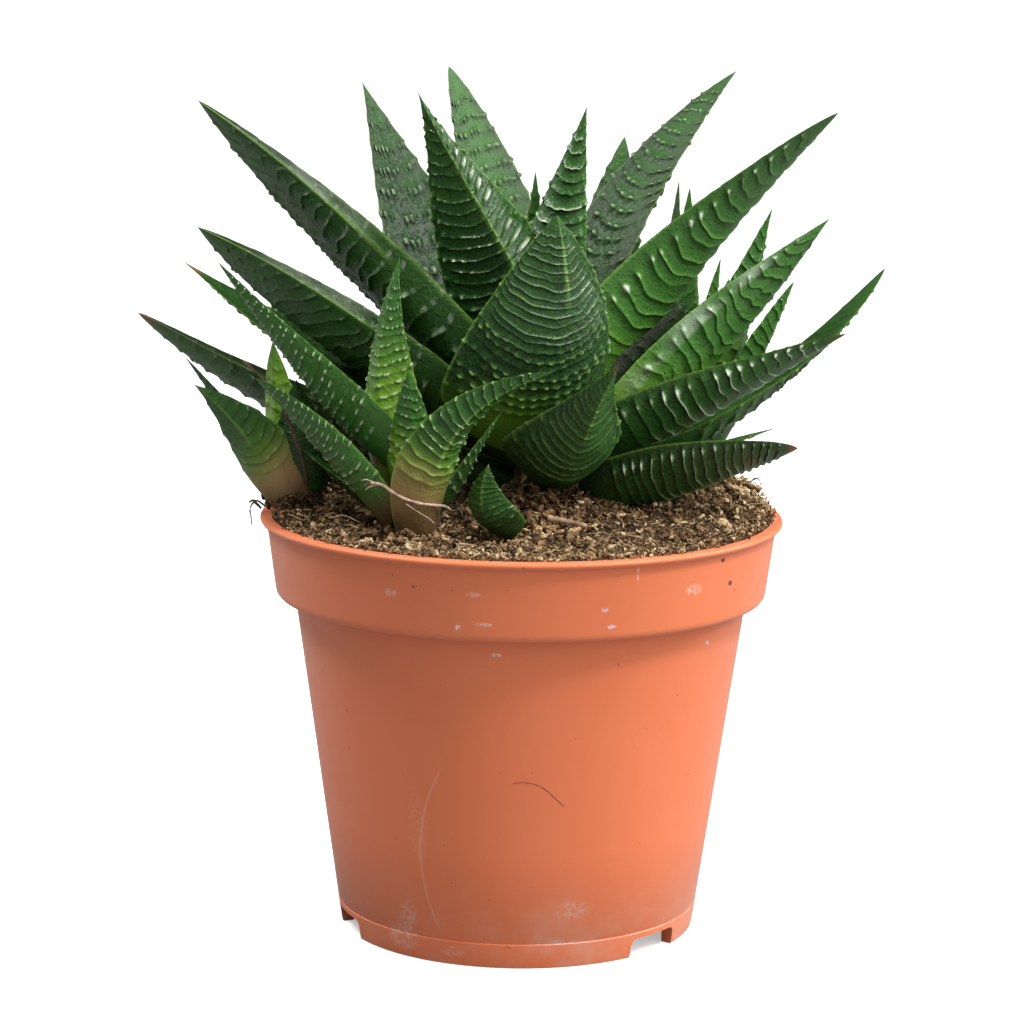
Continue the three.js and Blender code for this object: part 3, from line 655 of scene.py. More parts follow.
def half_width(leaf, along):
    root_width = leaf["kind"][0]
    opening = np.sin(np.clip(along / WIDEST, 0, 1) * math.pi / 2)
    foot = root_width + (1 - root_width) * opening
    run = np.clip((along - WIDEST) / (1 - WIDEST), 0, 1)
    fullness = 1 + leaf["full"] * run
    blade = (1 - run) ** leaf["taper"] * fullness
    return leaf["width"] / 2 * np.where(along < WIDEST, foot, blade)


def keel_depth(leaf, along):
    root_thick = leaf["kind"][1]
    bulge = np.sin(math.pi * np.clip(along / THICKEST, 0, 1))
    swell = root_thick + (1 - root_thick) * bulge
    return leaf["thick"] * KEEL_SHARE * swell * (1 - along) ** DEPTH_TAPER


def leaf_stations(leaf):
    """Rows along a leaf as ridge counts: below 0 is the smooth foot, above rows the tip."""
    rows = leaf["rows"]
    foot = [-1 + k / 5 for k in range(5)]
    ridges = [row + sample for row in range(rows) for sample in ROW_SAMPLES]
    return np.array(foot + ridges + [rows + k / 4 for k in range(4)])


def row_place(leaf, count):
    """How far along a leaf a ridge count lies."""
    rows = leaf["rows"]
    share = np.clip(count / rows, 0, 1) ** RIDGE_CROWDING
    ridged = RIDGE_START + (RIDGE_END - RIDGE_START) * share
    foot = RIDGE_START * (1 + np.clip(count, -1, 0))
    tip = RIDGE_END + (TIP_START - RIDGE_END) * np.clip(count - rows, 0, 1)
    return np.where(count < 0, foot, np.where(count > rows, tip, ridged))


def ridge_relief(leaf, seed, count, across, back):
    """How far the skin stands out, how much of it is pale crest, and how much painted groove shade
    and painted highlight it gets.
    """
    rows = leaf["rows"]
    row = np.floor(count)
    step = count - row
    far = count / rows
    still = across * 0
    decline = np.clip((1 - step) / (1 - LIP_RISE), 0, 1) ** 1.5
    rib = np.exp(-((step - LIP_RISE) / leaf["rib"]) ** 2)
    plate = leaf["plate"]
    behind = (1 - plate) * rib + plate * decline
    lip = np.where(step < LIP_RISE, rising(step, 0, LIP_RISE), behind)
    strength = np.clip(0.8 + 0.3 * ripple(seed + 1, across * 4.5, row * 2.3), 0.15, 1)

    # Where a ridge broadens into a cushion, it is flat on top and ends all round
    pad_low, pad_high = leaf["pads"]
    uneven = 0.05 * ripple(seed + 8, still, row * 3.7)
    pad = rising(across + uneven, pad_low - 0.05, pad_low + 0.05)
    pad = pad * falling(across - uneven, pad_high - 0.05, pad_high + 0.05)
    lip = lip * (1 - pad) + rising(step, 0, 0.12) * falling(step, 0.34, 0.54) * pad

    # Near the ends of its reach a ridge breaks up into dots
    low_end, high_end = leaf["reach"]
    outward = np.abs(across - (low_end + high_end) / 2) / ((high_end - low_end) / 2)
    beading = leaf["beads"] + leaf["low_beads"] * falling(far, 0.15, 0.55)
    beading = np.clip(beading + rising(outward, 0.8, 1.1), 0, 1) * (1 - pad)
    pace = across * leaf["width"] * math.pi / leaf["pitch"]
    dots = 0.5 + 0.5 * np.cos(pace + row * 1.7 + 0.9 * ripple(seed + 9, across * 6, row * 3))
    present = rising(ripple(seed + 6, across * 9, row * 5.1), -0.9, 0.1)
    dotted = np.clip(1 - ((step - 0.15) / 0.2) ** 2, 0, 1) * dots ** 1.2 * present * beading
    height = lip * strength * (1 - beading) + dotted * 1.1

    # The glossy knob that starts a ridge below the edge that looks up
    knob, top, knob_at = leaf["knob"], leaf["top"], leaf["knob_at"]
    if knob:
        height = height * falling(across * top, knob_at - 0.02, knob_at + 0.08)
    start = top * knob_at + 0.025 * ripple(seed + 11, still, row * 2.3)
    bump = np.exp(-((across - start) / 0.06) ** 2 - ((step - 0.17) / 0.17) ** 2)
    bump = bump * np.clip(0.8 + 0.4 * ripple(seed + 12, still, row * 3.1), 0.3, 1.2)
    height = height + 0.85 * knob * bump
    ends = rising(count, 0, 2) * falling(count, rows - 2.5, rows - 0.2)
    face = np.where(back, 1.0, leaf["face"])
    whole = ends * face * (1 - 0.3 * rising(np.abs(across), 0.85, 1))

    # Painted shade in the groove at the foot of each lip, weaker where the ridge breaks into dots
    painted_groove_shade = rising(step, 0.66, 0.97) + (step < 0.04)
    painted_groove_shade = painted_groove_shade * strength * (1 - 0.4 * beading) * whole
    paler = 0.5 + 0.5 * falling(far, 0.2, 0.75)
    crest = rising(height, 0.6, 0.95) * leaf["pale"] * ends * paler
    line = np.exp(-((across - leaf["line_at"]) / 0.035) ** 2) * rising(far, 0.2, 0.5)

    # Painted highlights: white laid on knobs, cushions, dots and crests near the tip, and a
    # painted sheen on the skin along smooth margins
    glints = within(across, leaf["shine"], 0.1) * rising(far, 0.45, 0.6)
    glints = glints * rising(height, 0.7, 1) * present
    band = within(across, leaf["band"], 0.1)
    band = band * np.clip(0.55 + 0.45 * ripple(seed + 13, across * 5, count * 1.3), 0, 1)
    if leaf["line_at"] < 1:
        band = band * rising(far, 0.35, 0.6)
    cushioned = within(across, leaf["pads"], 0.15) if pad_low < 1 else 1
    pearl = leaf["pearl"] * rising(height, 0.6, 0.95) * cushioned
    pearl = pearl + leaf["sparkle"] * rising(dotted, 0.35, 0.65)
    pearl = pearl + min(knob, 1) * rising(bump, 0.3, 0.8) + 0.7 * glints
    pearl = np.clip(pearl, 0, 1) * whole + 0.5 * band * ends
    crest = np.maximum(crest * (1 - 0.6 * pad), 0.7 * line)
    return height * whole + 0.5 * line, crest, painted_groove_shade, np.clip(pearl, 0, 1)


def leaf_points(leaf, seed, back_count, face_count, ridge_height):
    """The skin of a leaf: its points, faces and the numbers that its material reads."""
    keel, crisp, rows = leaf["keel"], leaf["crisp"], leaf["rows"]
    even = np.linspace(-1, 1, back_count)
    back_x = 0.55 * np.sin(even * math.pi / 2) + 0.45 * even
    face_x = -np.linspace(-1, 1, face_count + 2)[1:-1]
    section_x = np.concatenate((back_x, face_x))
    section_back = np.arange(len(section_x)) < back_count
    counts = leaf_stations(leaf)
    count = np.repeat(counts, len(section_x))
    x = np.tile(section_x, len(counts))
    back = np.tile(section_back, len(counts))
    height, crest, painted_groove_shade, pearl = ridge_relief(leaf, seed, count, x, back)

    # The rows run unevenly, bowed and askew across the leaf
    calm = rising(count, 0, 1.5) * falling(count, rows - 1.5, rows)
    wave = 0.24 * ripple(seed + 2, x * 3.2, count * 0.45)
    wave = wave + 0.09 * ripple(seed + 3, x * 12, np.floor(count) * 1.9)
    wave = wave + 0.07 * ripple(seed + 10, x * 0.7, np.floor(count) * 2.9)
    along = row_place(leaf, count + (LIP_AT + wave * leaf["wavy"]) * calm)
    along = along + (leaf["arch"] * x * x + leaf["lean"] * x) * np.sin(math.pi * along)
    along = np.clip(along, 0, TIP_START)

    depth = keel_depth(leaf, along)
    offset = np.where(x > keel, (x - keel) / (1 - keel), (keel - x) / (1 + keel))
    sharp = 2 - 0.94 * rising(along, crisp - 0.15, crisp + 0.15)
    finer = 1 - 0.45 * rising(along, 0.45, 1)
    raised = ridge_height * leaf["relief"] * height * finer
    swell = 1 - np.clip(offset, 0, 1) ** sharp
    margin_level = MARGIN_LIFT * depth
    low = margin_level - depth * swell ** BACK_ROUND - raised
    hollow = depth * (FACE_SWELL * along - FACE_HOLLOW) * (1 - np.abs(x) ** 1.5)
    high = margin_level + hollow + raised
    at_margin = np.abs(x) > 0.999
    level = np.where(at_margin, margin_level, np.where(back, low, high))
    teeth = 0.12 * ripple(seed + 4, count * 5, x * 0) * at_margin * calm
    sideways = half_width(leaf, along) * x + (raised * 1.1 + teeth) * x
    middle, across, upper = leaf_axes(leaf, along)
    points = middle + across * sideways[:, None] + upper * level[:, None]
    ends = np.array([leaf_axes(leaf, np.zeros(1))[0][0], leaf["tip"]], float)
    points = np.vstack((points, ends)) * MM

    line = falling(offset, 0.015, 0.055) * rising(along, crisp - 0.05, crisp + 0.1) * back
    patch = ripple(seed + 5, x * 2.2, along * 9)
    glow, dry = leaf["glow"], leaf["dry"]
    # Tone: random patches, with painted shade that darkens the leaf towards its root and lightens
    # it towards its tip
    patchy_tone_and_painted_shade = 0.08 * patch + 0.3 * rising(along, 0.1, 1) - 0.15
    values = {
        "crest": crest,
        "painted_groove_shade": painted_groove_shade,
        "raised": np.clip(height, 0, 1),
        "pearl": pearl,
        "edge": np.maximum(rising(np.abs(x), 0.97, 0.995), line * 0.9),
        "tone": leaf["tone"] + patchy_tone_and_painted_shade,
        "matt": np.full(len(x), float(leaf["matt"])),
        "foot": falling(along + 0.05 * patch, glow - 0.3, glow + 0.2) * (glow > 0),
        "earthed": falling(along, 0.02, 0.2) * (dry > 0),
        "tan_foot": falling(along + 0.04 * patch, dry - 0.16, dry + 0.16) * (dry > 0),
        "tip_dry": leaf["burnt"] * rising(along + 0.01 * patch, 0.93, 0.985),
        "spots": leaf["spots"] * rising(along, 0.08, 0.2) * falling(along, 0.3, 0.5),
        "dull": leaf["dull"] * rising(np.abs(x) + 0.2 * patch, 0.2, 0.8),
    }
    values = {key: np.append(item, (item[0], item[-1])) for key, item in values.items()}
    return points, closed_faces(len(counts), len(section_x)), values


def leaf_piece(leaf, name, seed, look):
    """One leaf as a smooth mesh, finer across where it is wide and where it is seen."""
    back_count = max(18, round(leaf["width"] * look.samples_per_mm))
    face_count = back_count // 3
    if leaf["face"] > 0.5:
        back_count, face_count = back_count // 2, back_count
    points, faces, values = leaf_points(
        leaf, seed, back_count, face_count, look.ridge_height / MM)
    thing = mesh_piece(name, points, faces)
    for key, item in values.items():
        point_values(thing, key, item)
    make_active(thing)
    bpy.ops.object.shade_smooth_by_angle(angle=math.radians(50))
    return thing


# Stage


def lamp(name, kind, power, way):
    """A light that shines one way."""
    data = bpy.data.lights.new(name, kind)
    data.energy = power
    thing = bpy.data.objects.new(name, data)
    bpy.context.scene.collection.objects.link(thing)
    thing.rotation_mode = "QUATERNION"
    thing.rotation_quaternion = Vector(way).to_track_quat("-Z", "Y")
    return thing


def area_light(name, place, size, power):
    """A soft, square light that looks at the plant."""
    thing = lamp(name, "AREA", power, CAMERA_AIM - Vector(place))
    thing.data.size = size
    thing.location = place


def by_ray(tree, ray, others, own):
    """A value that is one thing to a kind of ray and another to all others."""
    path = tree.nodes.new("ShaderNodeLightPath")
    share = tree.nodes.new("ShaderNodeMapRange")
    share.inputs["To Min"].default_value = others
    share.inputs["To Max"].default_value = own
    tree.links.new(path.outputs[ray], share.inputs["Value"])
    return share.outputs["Result"]


def white_room(strength):
    """A dim, even room, dimmer still in reflections, where the eye sees plain white."""
    world = bpy.data.worlds.new("Studio White")
    world.use_nodes = True
    tree = world.node_tree
    background = tree.nodes["Background"]
    background.inputs["Color"].default_value = (1, 1, 1, 1)
    product = tree.nodes.new("ShaderNodeMath")
    product.operation = "MULTIPLY"
    tree.links.new(by_ray(tree, "Is Camera Ray", strength, 1), product.inputs[0])
    tree.links.new(by_ray(tree, "Is Glossy Ray", 1, 0.25), product.inputs[1])
    tree.links.new(product.outputs["Value"], background.inputs["Strength"])
    return world


def floor_material(glow):
    """A pale floor, overexposed as in the photograph, that throws little light back."""
    shader = Shader("Pale Floor")
    share = shader.ramp(shader.noise(6, 2), 0.3, 0.7)
    pale = shader.mix(share, (0.92, 0.92, 0.92), (0.94, 0.94, 0.94))
    seen = by_ray(shader.tree, "Is Camera Ray", 0, 1)
    return shader.finish(
        Base_Color=shader.mix(seen, (0.22, 0.22, 0.22), pale), Roughness=0.8,
        Specular_IOR_Level=0.2, Emission_Color=(1, 1, 1, 1),
        Emission_Strength=by_ray(shader.tree, "Is Camera Ray", 0, glow))


class HAWORTHIA_OT_stage(bpy.types.Operator):
    """Sets the floor, the soft lights and the camera of the photograph"""

    bl_idname = "haworthia.stage"
    bl_label = "Set the Stage"

    def execute(self, context):
        look = context.scene.haworthia_stage
        deselect_all()
        bpy.ops.mesh.primitive_plane_add(size=look.floor_size)
        floor = context.active_object
        floor.name = "floor"
        floor.data.materials.append(floor_material(look.floor_glow))

        context.scene.world = white_room(look.surround)
        context.scene.view_settings.view_transform = "Standard"
        window = lamp("Window", "SUN", look.window_power, WINDOW_WAY)
        window.data.angle = WINDOW_SPREAD
        window.visible_glossy = False
        area_light("Key", (0.42, -0.3, 0.72), 0.13, look.key_power)
        area_light("Top", (-0.46, 0.02, 0.74), 0.2, look.top_power)
        area_light("Right", (0.75, 0.15, 0.47), 0.22, look.side_power)
        area_light("Left Edge", (-0.7, 0.35, 0.25), 0.5, look.edge_power)

        away = Vector((0, -math.cos(CAMERA_ELEVATION), math.sin(CAMERA_ELEVATION)))
        right = Vector((1, 0, 0))
        up = away.cross(right)
        turn_cos, turn_sin = math.cos(CAMERA_ROLL), math.sin(CAMERA_ROLL)
        rolled_right = right * turn_cos + up * turn_sin
        rolled_up = up * turn_cos - right * turn_sin
        data = bpy.data.cameras.new("Photo Camera")
        data.sensor_width = SENSOR_WIDTH
        data.lens = FOCAL_POINTS / PICTURE_WIDTH * SENSOR_WIDTH
        data.clip_start = 0.01
        camera = bpy.data.objects.new("Photo Camera", data)
        context.scene.collection.objects.link(camera)
        turn = Matrix((rolled_right, rolled_up, away)).transposed().to_4x4()
        camera.matrix_world = Matrix.Translation(CAMERA_AIM + away * CAMERA_DISTANCE) @ turn
        context.scene.camera = camera
        return {"FINISHED"}


class HAWORTHIA_OT_leaves(bpy.types.Operator):
    """Builds each leaf with its ridges, dots, margins and colours"""

    bl_idname = "haworthia.leaves"
    bl_label = "Build the Leaves"

    def execute(self, context):
        look = context.scene.haworthia_leaves
        material = leaf_material()
        for seed, leaf in enumerate(LEAVES):
            thing = leaf_piece(leaf, leaf["name"] + "_skin", seed * 10, look)
            slot = "leaf_dark" if leaf["name"].startswith("main") else "leaf_young"
            finish_piece(thing, material, slot, leaf["name"])
        for leaf in DRY_LEAVES:
            withered = leaf_piece(leaf, leaf["name"], 7, look)
            finish_piece(withered, material, "leaf_dark")
        return {"FINISHED"}


class HAWORTHIA_OT_stems(bpy.types.Operator):
    """Gives the short stems between soil and leaves their dull bark"""

    bl_idname = "haworthia.stems"
    bl_label = "Finish the Stems"

    def execute(self, context):
        material = plain_material("Old Stem", (96, 78, 50), (150, 130, 92), 300, 0.8)
        for name in STEMS:
            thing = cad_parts[name]
            thing.data.materials.clear()
            thing.data.materials.append(material)
        return {"FINISHED"}


# Pot


def pot_radius(height):
    """The radius of the slanting wall at a height above the foot."""
    return FOOT_RADIUS + (BODY_TOP_RADIUS - FOOT_RADIUS) * height / COLLAR_BASE_HEIGHT


def pot_profile():
    """The pot's wall as radius and height, from the floor's underside to its top."""
    ring = FOOT_RADIUS - FOOT_RING_WIDTH
    band = pot_radius(FOOT_BAND_HEIGHT)
    under_lip = POT_HEIGHT - LIP_HEIGHT
    floor_top = FLOOR_UNDERSIDE + FLOOR_THICKNESS
    return [
        (0.001, FLOOR_UNDERSIDE),
        (ring, FLOOR_UNDERSIDE),
        (ring, 0.15),
        (ring + 0.2, 0),
        (FOOT_RADIUS - 0.4, 0),
        (FOOT_RADIUS - 0.1, 0.12),
        (FOOT_RADIUS, 0.4),
        (band - 0.04, FOOT_BAND_HEIGHT - 0.25),
        (band - 0.22, FOOT_BAND_HEIGHT),
        (band, FOOT_BAND_HEIGHT + 0.3),
        (pot_radius(24), 24),
        (pot_radius(45), 45),
        (BODY_TOP_RADIUS - 0.1, COLLAR_BASE_HEIGHT - 1),
        (BODY_TOP_RADIUS + 0.15, COLLAR_BASE_HEIGHT - 0.2),
        (BODY_TOP_RADIUS + 0.6, COLLAR_BASE_HEIGHT),
        (COLLAR_BASE_RADIUS - 1.1, COLLAR_BASE_HEIGHT + 0.05),
        (COLLAR_BASE_RADIUS - 0.5, COLLAR_BASE_HEIGHT + 0.3),
        (COLLAR_BASE_RADIUS - 0.12, COLLAR_BASE_HEIGHT + 0.8),
        (COLLAR_BASE_RADIUS + 0.03, COLLAR_BASE_HEIGHT + 1.6),
        (COLLAR_TOP_RADIUS - 0.05, under_lip - 0.9),
        (COLLAR_TOP_RADIUS + 0.12, under_lip - 0.2),
        (RIM_RADIUS - 0.75, under_lip + 0.02),
        (RIM_RADIUS - 0.3, under_lip + 0.22),
        (RIM_RADIUS - 0.05, under_lip + 0.6),
        (RIM_RADIUS, POT_HEIGHT - 0.65),
        (RIM_RADIUS - 0.12, POT_HEIGHT - 0.25),
        (RIM_RADIUS - 0.42, POT_HEIGHT - 0.04),
        (RIM_RADIUS - 0.9, POT_HEIGHT),
        (COLLAR_TOP_RADIUS - WALL + 0.3, POT_HEIGHT),
        (COLLAR_TOP_RADIUS - WALL, POT_HEIGHT - 0.4),
        (COLLAR_BASE_RADIUS - WALL, COLLAR_BASE_HEIGHT + 2 * WALL),
        (BODY_TOP_RADIUS - WALL, COLLAR_BASE_HEIGHT),
        (pot_radius(floor_top) - WALL, floor_top),
        (0.001, floor_top),
    ]


def spin_profile(name, profile, steps):
    """A closed shape of revolution from points of radius and height."""
    edges = [(k, k + 1) for k in range(len(profile) - 1)]
    thing = mesh_piece(name, [(r * MM, 0, z * MM) for r, z in profile], [], edges)
    make_active(thing)
    bpy.ops.object.mode_set(mode="EDIT")
    bpy.ops.mesh.select_all(action="SELECT")
    bpy.ops.mesh.spin(steps=steps, angle=2 * math.pi, center=(0, 0, 0), axis=(0, 0, 1))
    bpy.ops.mesh.select_all(action="SELECT")
    bpy.ops.mesh.remove_doubles(threshold=0.00001)
    bpy.ops.mesh.select_all(action="SELECT")
    bpy.ops.mesh.normals_make_consistent(inside=False)
    bpy.ops.object.mode_set(mode="OBJECT")
    return thing


def cut_away(thing, cutter):
    """Takes a cutter's shape out of a piece and removes the cutter."""
    make_active(thing)
    boolean = thing.modifiers.new("Cut", "BOOLEAN")
    boolean.operation = "DIFFERENCE"
    boolean.solver = "EXACT"
    boolean.object = cutter
    bpy.ops.object.modifier_apply(modifier=boolean.name)
    bpy.data.objects.remove(cutter)


def notch_cutter(angle):
    deselect_all()
    bpy.ops.mesh.primitive_cube_add(size=1, location=(0, 0, 0))
    cutter = bpy.context.active_object
    size = (NOTCH_WIDTH * MM, NOTCH_DEPTH * MM, NOTCH_HEIGHT * 2 * MM)
    cutter.data.transform(Matrix.Diagonal((*size, 1)))
    bevel = cutter.modifiers.new("Round", "BEVEL")
    bevel.width = NOTCH_CORNER * MM
    bevel.segments = 4
    bpy.ops.object.modifier_apply(modifier=bevel.name)
    cutter.data.transform(Matrix.Translation((0, -FOOT_RADIUS * MM, 0)))
    cutter.data.transform(Matrix.Rotation(math.radians(angle), 4, "Z"))
    return cutter


def drain_cutter(index):
    deselect_all()
    bpy.ops.mesh.primitive_cylinder_add(vertices=32, radius=DRAIN_RADIUS * MM, depth=8 * MM)
    cutter = bpy.context.active_object
    turn = 2 * math.pi * index / DRAIN_COUNT
    x, y = math.cos(turn) * DRAIN_CIRCLE, math.sin(turn) * DRAIN_CIRCLE
    cutter.data.transform(Matrix.Translation(Vector((x, y, FLOOR_UNDERSIDE)) * MM))
    return cutter


class HAWORTHIA_OT_pot(bpy.types.Operator):
    """Spins the pot with its collar, lip bead and foot, and cuts its notches and drains"""

    bl_idname = "haworthia.pot"
    bl_label = "Build the Pot"

    def execute(self, context):
        pot = spin_profile("nursery_pot", pot_profile(), SPIN_STEPS)
        for angle in NOTCH_ANGLES:
            cut_away(pot, notch_cutter(angle))
        for index in range(DRAIN_COUNT):
            cut_away(pot, drain_cutter(index))
        make_active(pot)
        bpy.ops.object.shade_smooth_by_angle(angle=math.radians(40))
        finish_piece(pot, pot_material(), "pot_plastic", "pot")
        return {"FINISHED"}


# Soil


def edge_share(x, y):
    """How near to the wall a place on the soil lies: 0 well inside it and 1 beside it."""
    return np.clip(np.hypot(x, y) / SOIL_RADIUS - SOIL_EDGE_SHARE, 0, 1) / (1 - SOIL_EDGE_SHARE)


def soil_height(x, y):
    """The soil's general level, as in the part's source."""
    height = np.full(np.shape(x), float(SOIL_LEVEL))
    for mound_x, mound_y, rise, spread in SOIL_MOUNDS:
        distance = np.hypot(x - mound_x, y - mound_y) / spread
        height = height + rise * np.exp(-distance * distance)
    height = height + SOIL_LUMP * np.sin(x * 0.61 + 1) * np.cos(y * 0.53 + x * 0.17)
    return height - SOIL_EDGE_DROP * edge_share(x, y)


def clods(x, y):
    """Hills and hollows of the loose soil, about a millimetre up and down."""
    return 0.6 * ripple(71, x * 1.2, y * 1.2, 9) + 0.25 * ripple(72, x * 3.1, y * 3.1, 9)


def ground_height(x, y):
    """The uneven surface under the loose crumbs."""
    rim = edge_share(x, y)
    return soil_height(x, y) - 0.45 + 1.2 * rim + clods(x, y) * (1 - 0.6 * rim)


def joined(name, shapes, tones=None):
    """One mesh of many shapes of points and faces, where each may have its own tone."""
    points, faces = [], []
    start = 0
    for corners, sides in shapes:
        points.append(corners)
        faces.extend([start + corner for corner in side] for side in sides)
        start += len(corners)
    thing = mesh_piece(name, np.vstack(points) * MM, faces)
    if tones:
        point_values(thing, "tone", np.repeat(tones, [len(corners) for corners in points]))
    return thing


def crumb_shapes(count, seed, fineness):
    """A few rough crumbs, each a dented ball of about one unit."""
    shapes = []
    draw = random.Random(seed)
    for index in range(count):
        deselect_all()
        bpy.ops.mesh.primitive_ico_sphere_add(subdivisions=fineness, radius=1)
        ball = bpy.context.active_object
        points = np.array([v.co for v in ball.data.vertices])
        x, y, z = points.T
        dents = 1 + 0.4 * ripple(seed + index, x * 3.4, y * 3.4 + z * 4.1)
        stretch = [draw.uniform(*span) for span in ((0.8, 1.9), (0.5, 1.1), (0.35, 0.8))]
        faces = [tuple(face.vertices) for face in ball.data.polygons]
        shapes.append((points * dents[:, None] * stretch, faces))
        bpy.data.objects.remove(ball)
    return shapes


def random_turn(draw):
    axis = Vector((draw.gauss(0, 1), draw.gauss(0, 1), draw.gauss(0, 1))).normalized()
    return np.array(Matrix.Rotation(draw.uniform(0, 2 * math.pi), 3, axis))


def scatter_spot(draw):
    """A place on the soil, evenly over its area, thicker where it lies open in front."""
    while True:
        reach = SOIL_RADIUS * math.sqrt(draw.random())
        turn = draw.uniform(0, 2 * math.pi)
        x, y = reach * math.cos(turn), reach * math.sin(turn)
        if y < 8 or draw.random() < 0.8:
            return x, y


def rim_spot(draw):
    """A place close inside the rim, where crumbs lie against the wall."""
    reach = SOIL_RADIUS * draw.uniform(0.93, 1.03)
    turn = draw.uniform(0, 2 * math.pi)
    return reach * math.cos(turn), reach * math.sin(turn)


def pile_spot(middle_x, middle_y, spread):
    """A choice of places round the middle of a small pile."""
    return lambda draw: (draw.gauss(middle_x, spread), draw.gauss(middle_y, spread))


def crumbs(groups, seed):
    """Loose crumbs over the soil as shapes and a tone for each. A group is how many,
    their least and greatest radius, how far they lie up or down, how fine their shape
    is, where they lie and their darkest and lightest tone."""
    draw = random.Random(seed)
    shapes, tones = [], []
    for count, low, high, lift, fineness, choice, tone_low, tone_high in groups:
        kinds = crumb_shapes(10, seed + count, fineness)
        for _ in range(count):
            points, faces = draw.choice(kinds)
            x, y = choice(draw)
            size = low + (high - low) * draw.random() ** 2.2
            reach = math.hypot(x, y)
            room = SOIL_RADIUS - size * 0.8
            if reach > LITTER_RADIUS or room < reach < SOIL_RADIUS:
                x, y = x * room / reach, y * room / reach
            height = ground_height(x, y) + draw.uniform(-0.3, 0.7) * size + draw.uniform(0, lift)
            shapes.append((points @ random_turn(draw).T * size + (x, y, height), faces))
            # Painted shade: crumbs lighter on the small hills of the soil and darker in its
            # hollows
            tone = draw.uniform(tone_low, tone_high) * (CLOD_TONE + CLOD_PAINTED_SHADE * clods(x, y))
            tones.append(min(max(tone, 0), 1))
    return shapes, tones


def strip(line, radii, sides=4):
    """A thin tube along a line of points, as points and faces, closed at both ends."""
    line = np.array(line, float)
    ahead = np.gradient(line, axis=0)
    ahead /= np.linalg.norm(ahead, axis=1)[:, None]
    side = np.cross(ahead, (0.13, 0.21, 0.97))
    side /= np.linalg.norm(side, axis=1)[:, None]
    top = np.cross(side, ahead)
    points = []
    for k, middle in enumerate(line):
        for step in range(sides):
            turn = 2 * math.pi * step / sides
            outward = side[k] * math.cos(turn) + top[k] * math.sin(turn)
            points.append(middle + radii[k] * outward)
    last = (len(line) - 1) * sides
    caps = [tuple(range(sides))[::-1], tuple(range(last, last + sides))]
    return np.array(points), ring_faces(len(line), sides) + caps


def fibres(count, seed):
    """Coir fibres and fine rootlets that lie on the soil, as shapes and their tones."""
    draw = random.Random(seed)
    shapes, tones = [], []
    for _ in range(count):
        x, y = scatter_spot(draw)
        length = 1.2 + 6.5 * draw.random() ** 1.6
        heading = draw.uniform(0, 2 * math.pi)
        bend = draw.uniform(-0.5, 0.5)
        lift = 1.1 * draw.random() ** 2
        line = []
        for k in range(FIBRE_STEPS):
            if math.hypot(x, y) > SOIL_RADIUS - 0.6:
                x, y = x * 0.985, y * 0.985
            arch = lift * math.sin(math.pi * k / (FIBRE_STEPS - 1))
            line.append((x, y, ground_height(x, y) + 0.45 + arch))
            heading += bend + draw.uniform(-0.35, 0.35)
            x += length / FIBRE_STEPS * math.cos(heading)
            y += length / FIBRE_STEPS * math.sin(heading)
        thick = 0.06 + 0.26 * draw.random() ** 2.5
        radii = [thick * (1 - 0.6 * k / FIBRE_STEPS) for k in range(FIBRE_STEPS)]
        shapes.append(strip(line, radii))
        tones.append(draw.random())
    return shapes, tones


def ground_skin():
    """The soil's rough surface with a plain wall and underside, as points and faces."""
    reach = np.linspace(0.004, 1, GROUND_RINGS)
    turn = np.linspace(0, 2 * math.pi, GROUND_SPOKES, endpoint=False)
    x = np.outer(reach, np.cos(turn)).ravel() * SOIL_RADIUS
    y = np.outer(reach, np.sin(turn)).ravel() * SOIL_RADIUS
    height = ground_height(x, y) + 0.12 * ripple(73, x * 7.3, y * 7.3, 9)
    surface = np.column_stack((x, y, height))
    low = SOIL_LEVEL - SOIL_DEPTH
    low_edge = surface[-GROUND_SPOKES:] * (1, 1, 0) + (0, 0, low)
    ends = ((0, 0, height[:GROUND_SPOKES].mean()), (0, 0, low))
    faces = closed_faces(GROUND_RINGS + 1, GROUND_SPOKES)
    outward = [(face[0], *face[:0:-1]) for face in faces]
    return np.vstack((surface, low_edge, ends)) * MM, outward


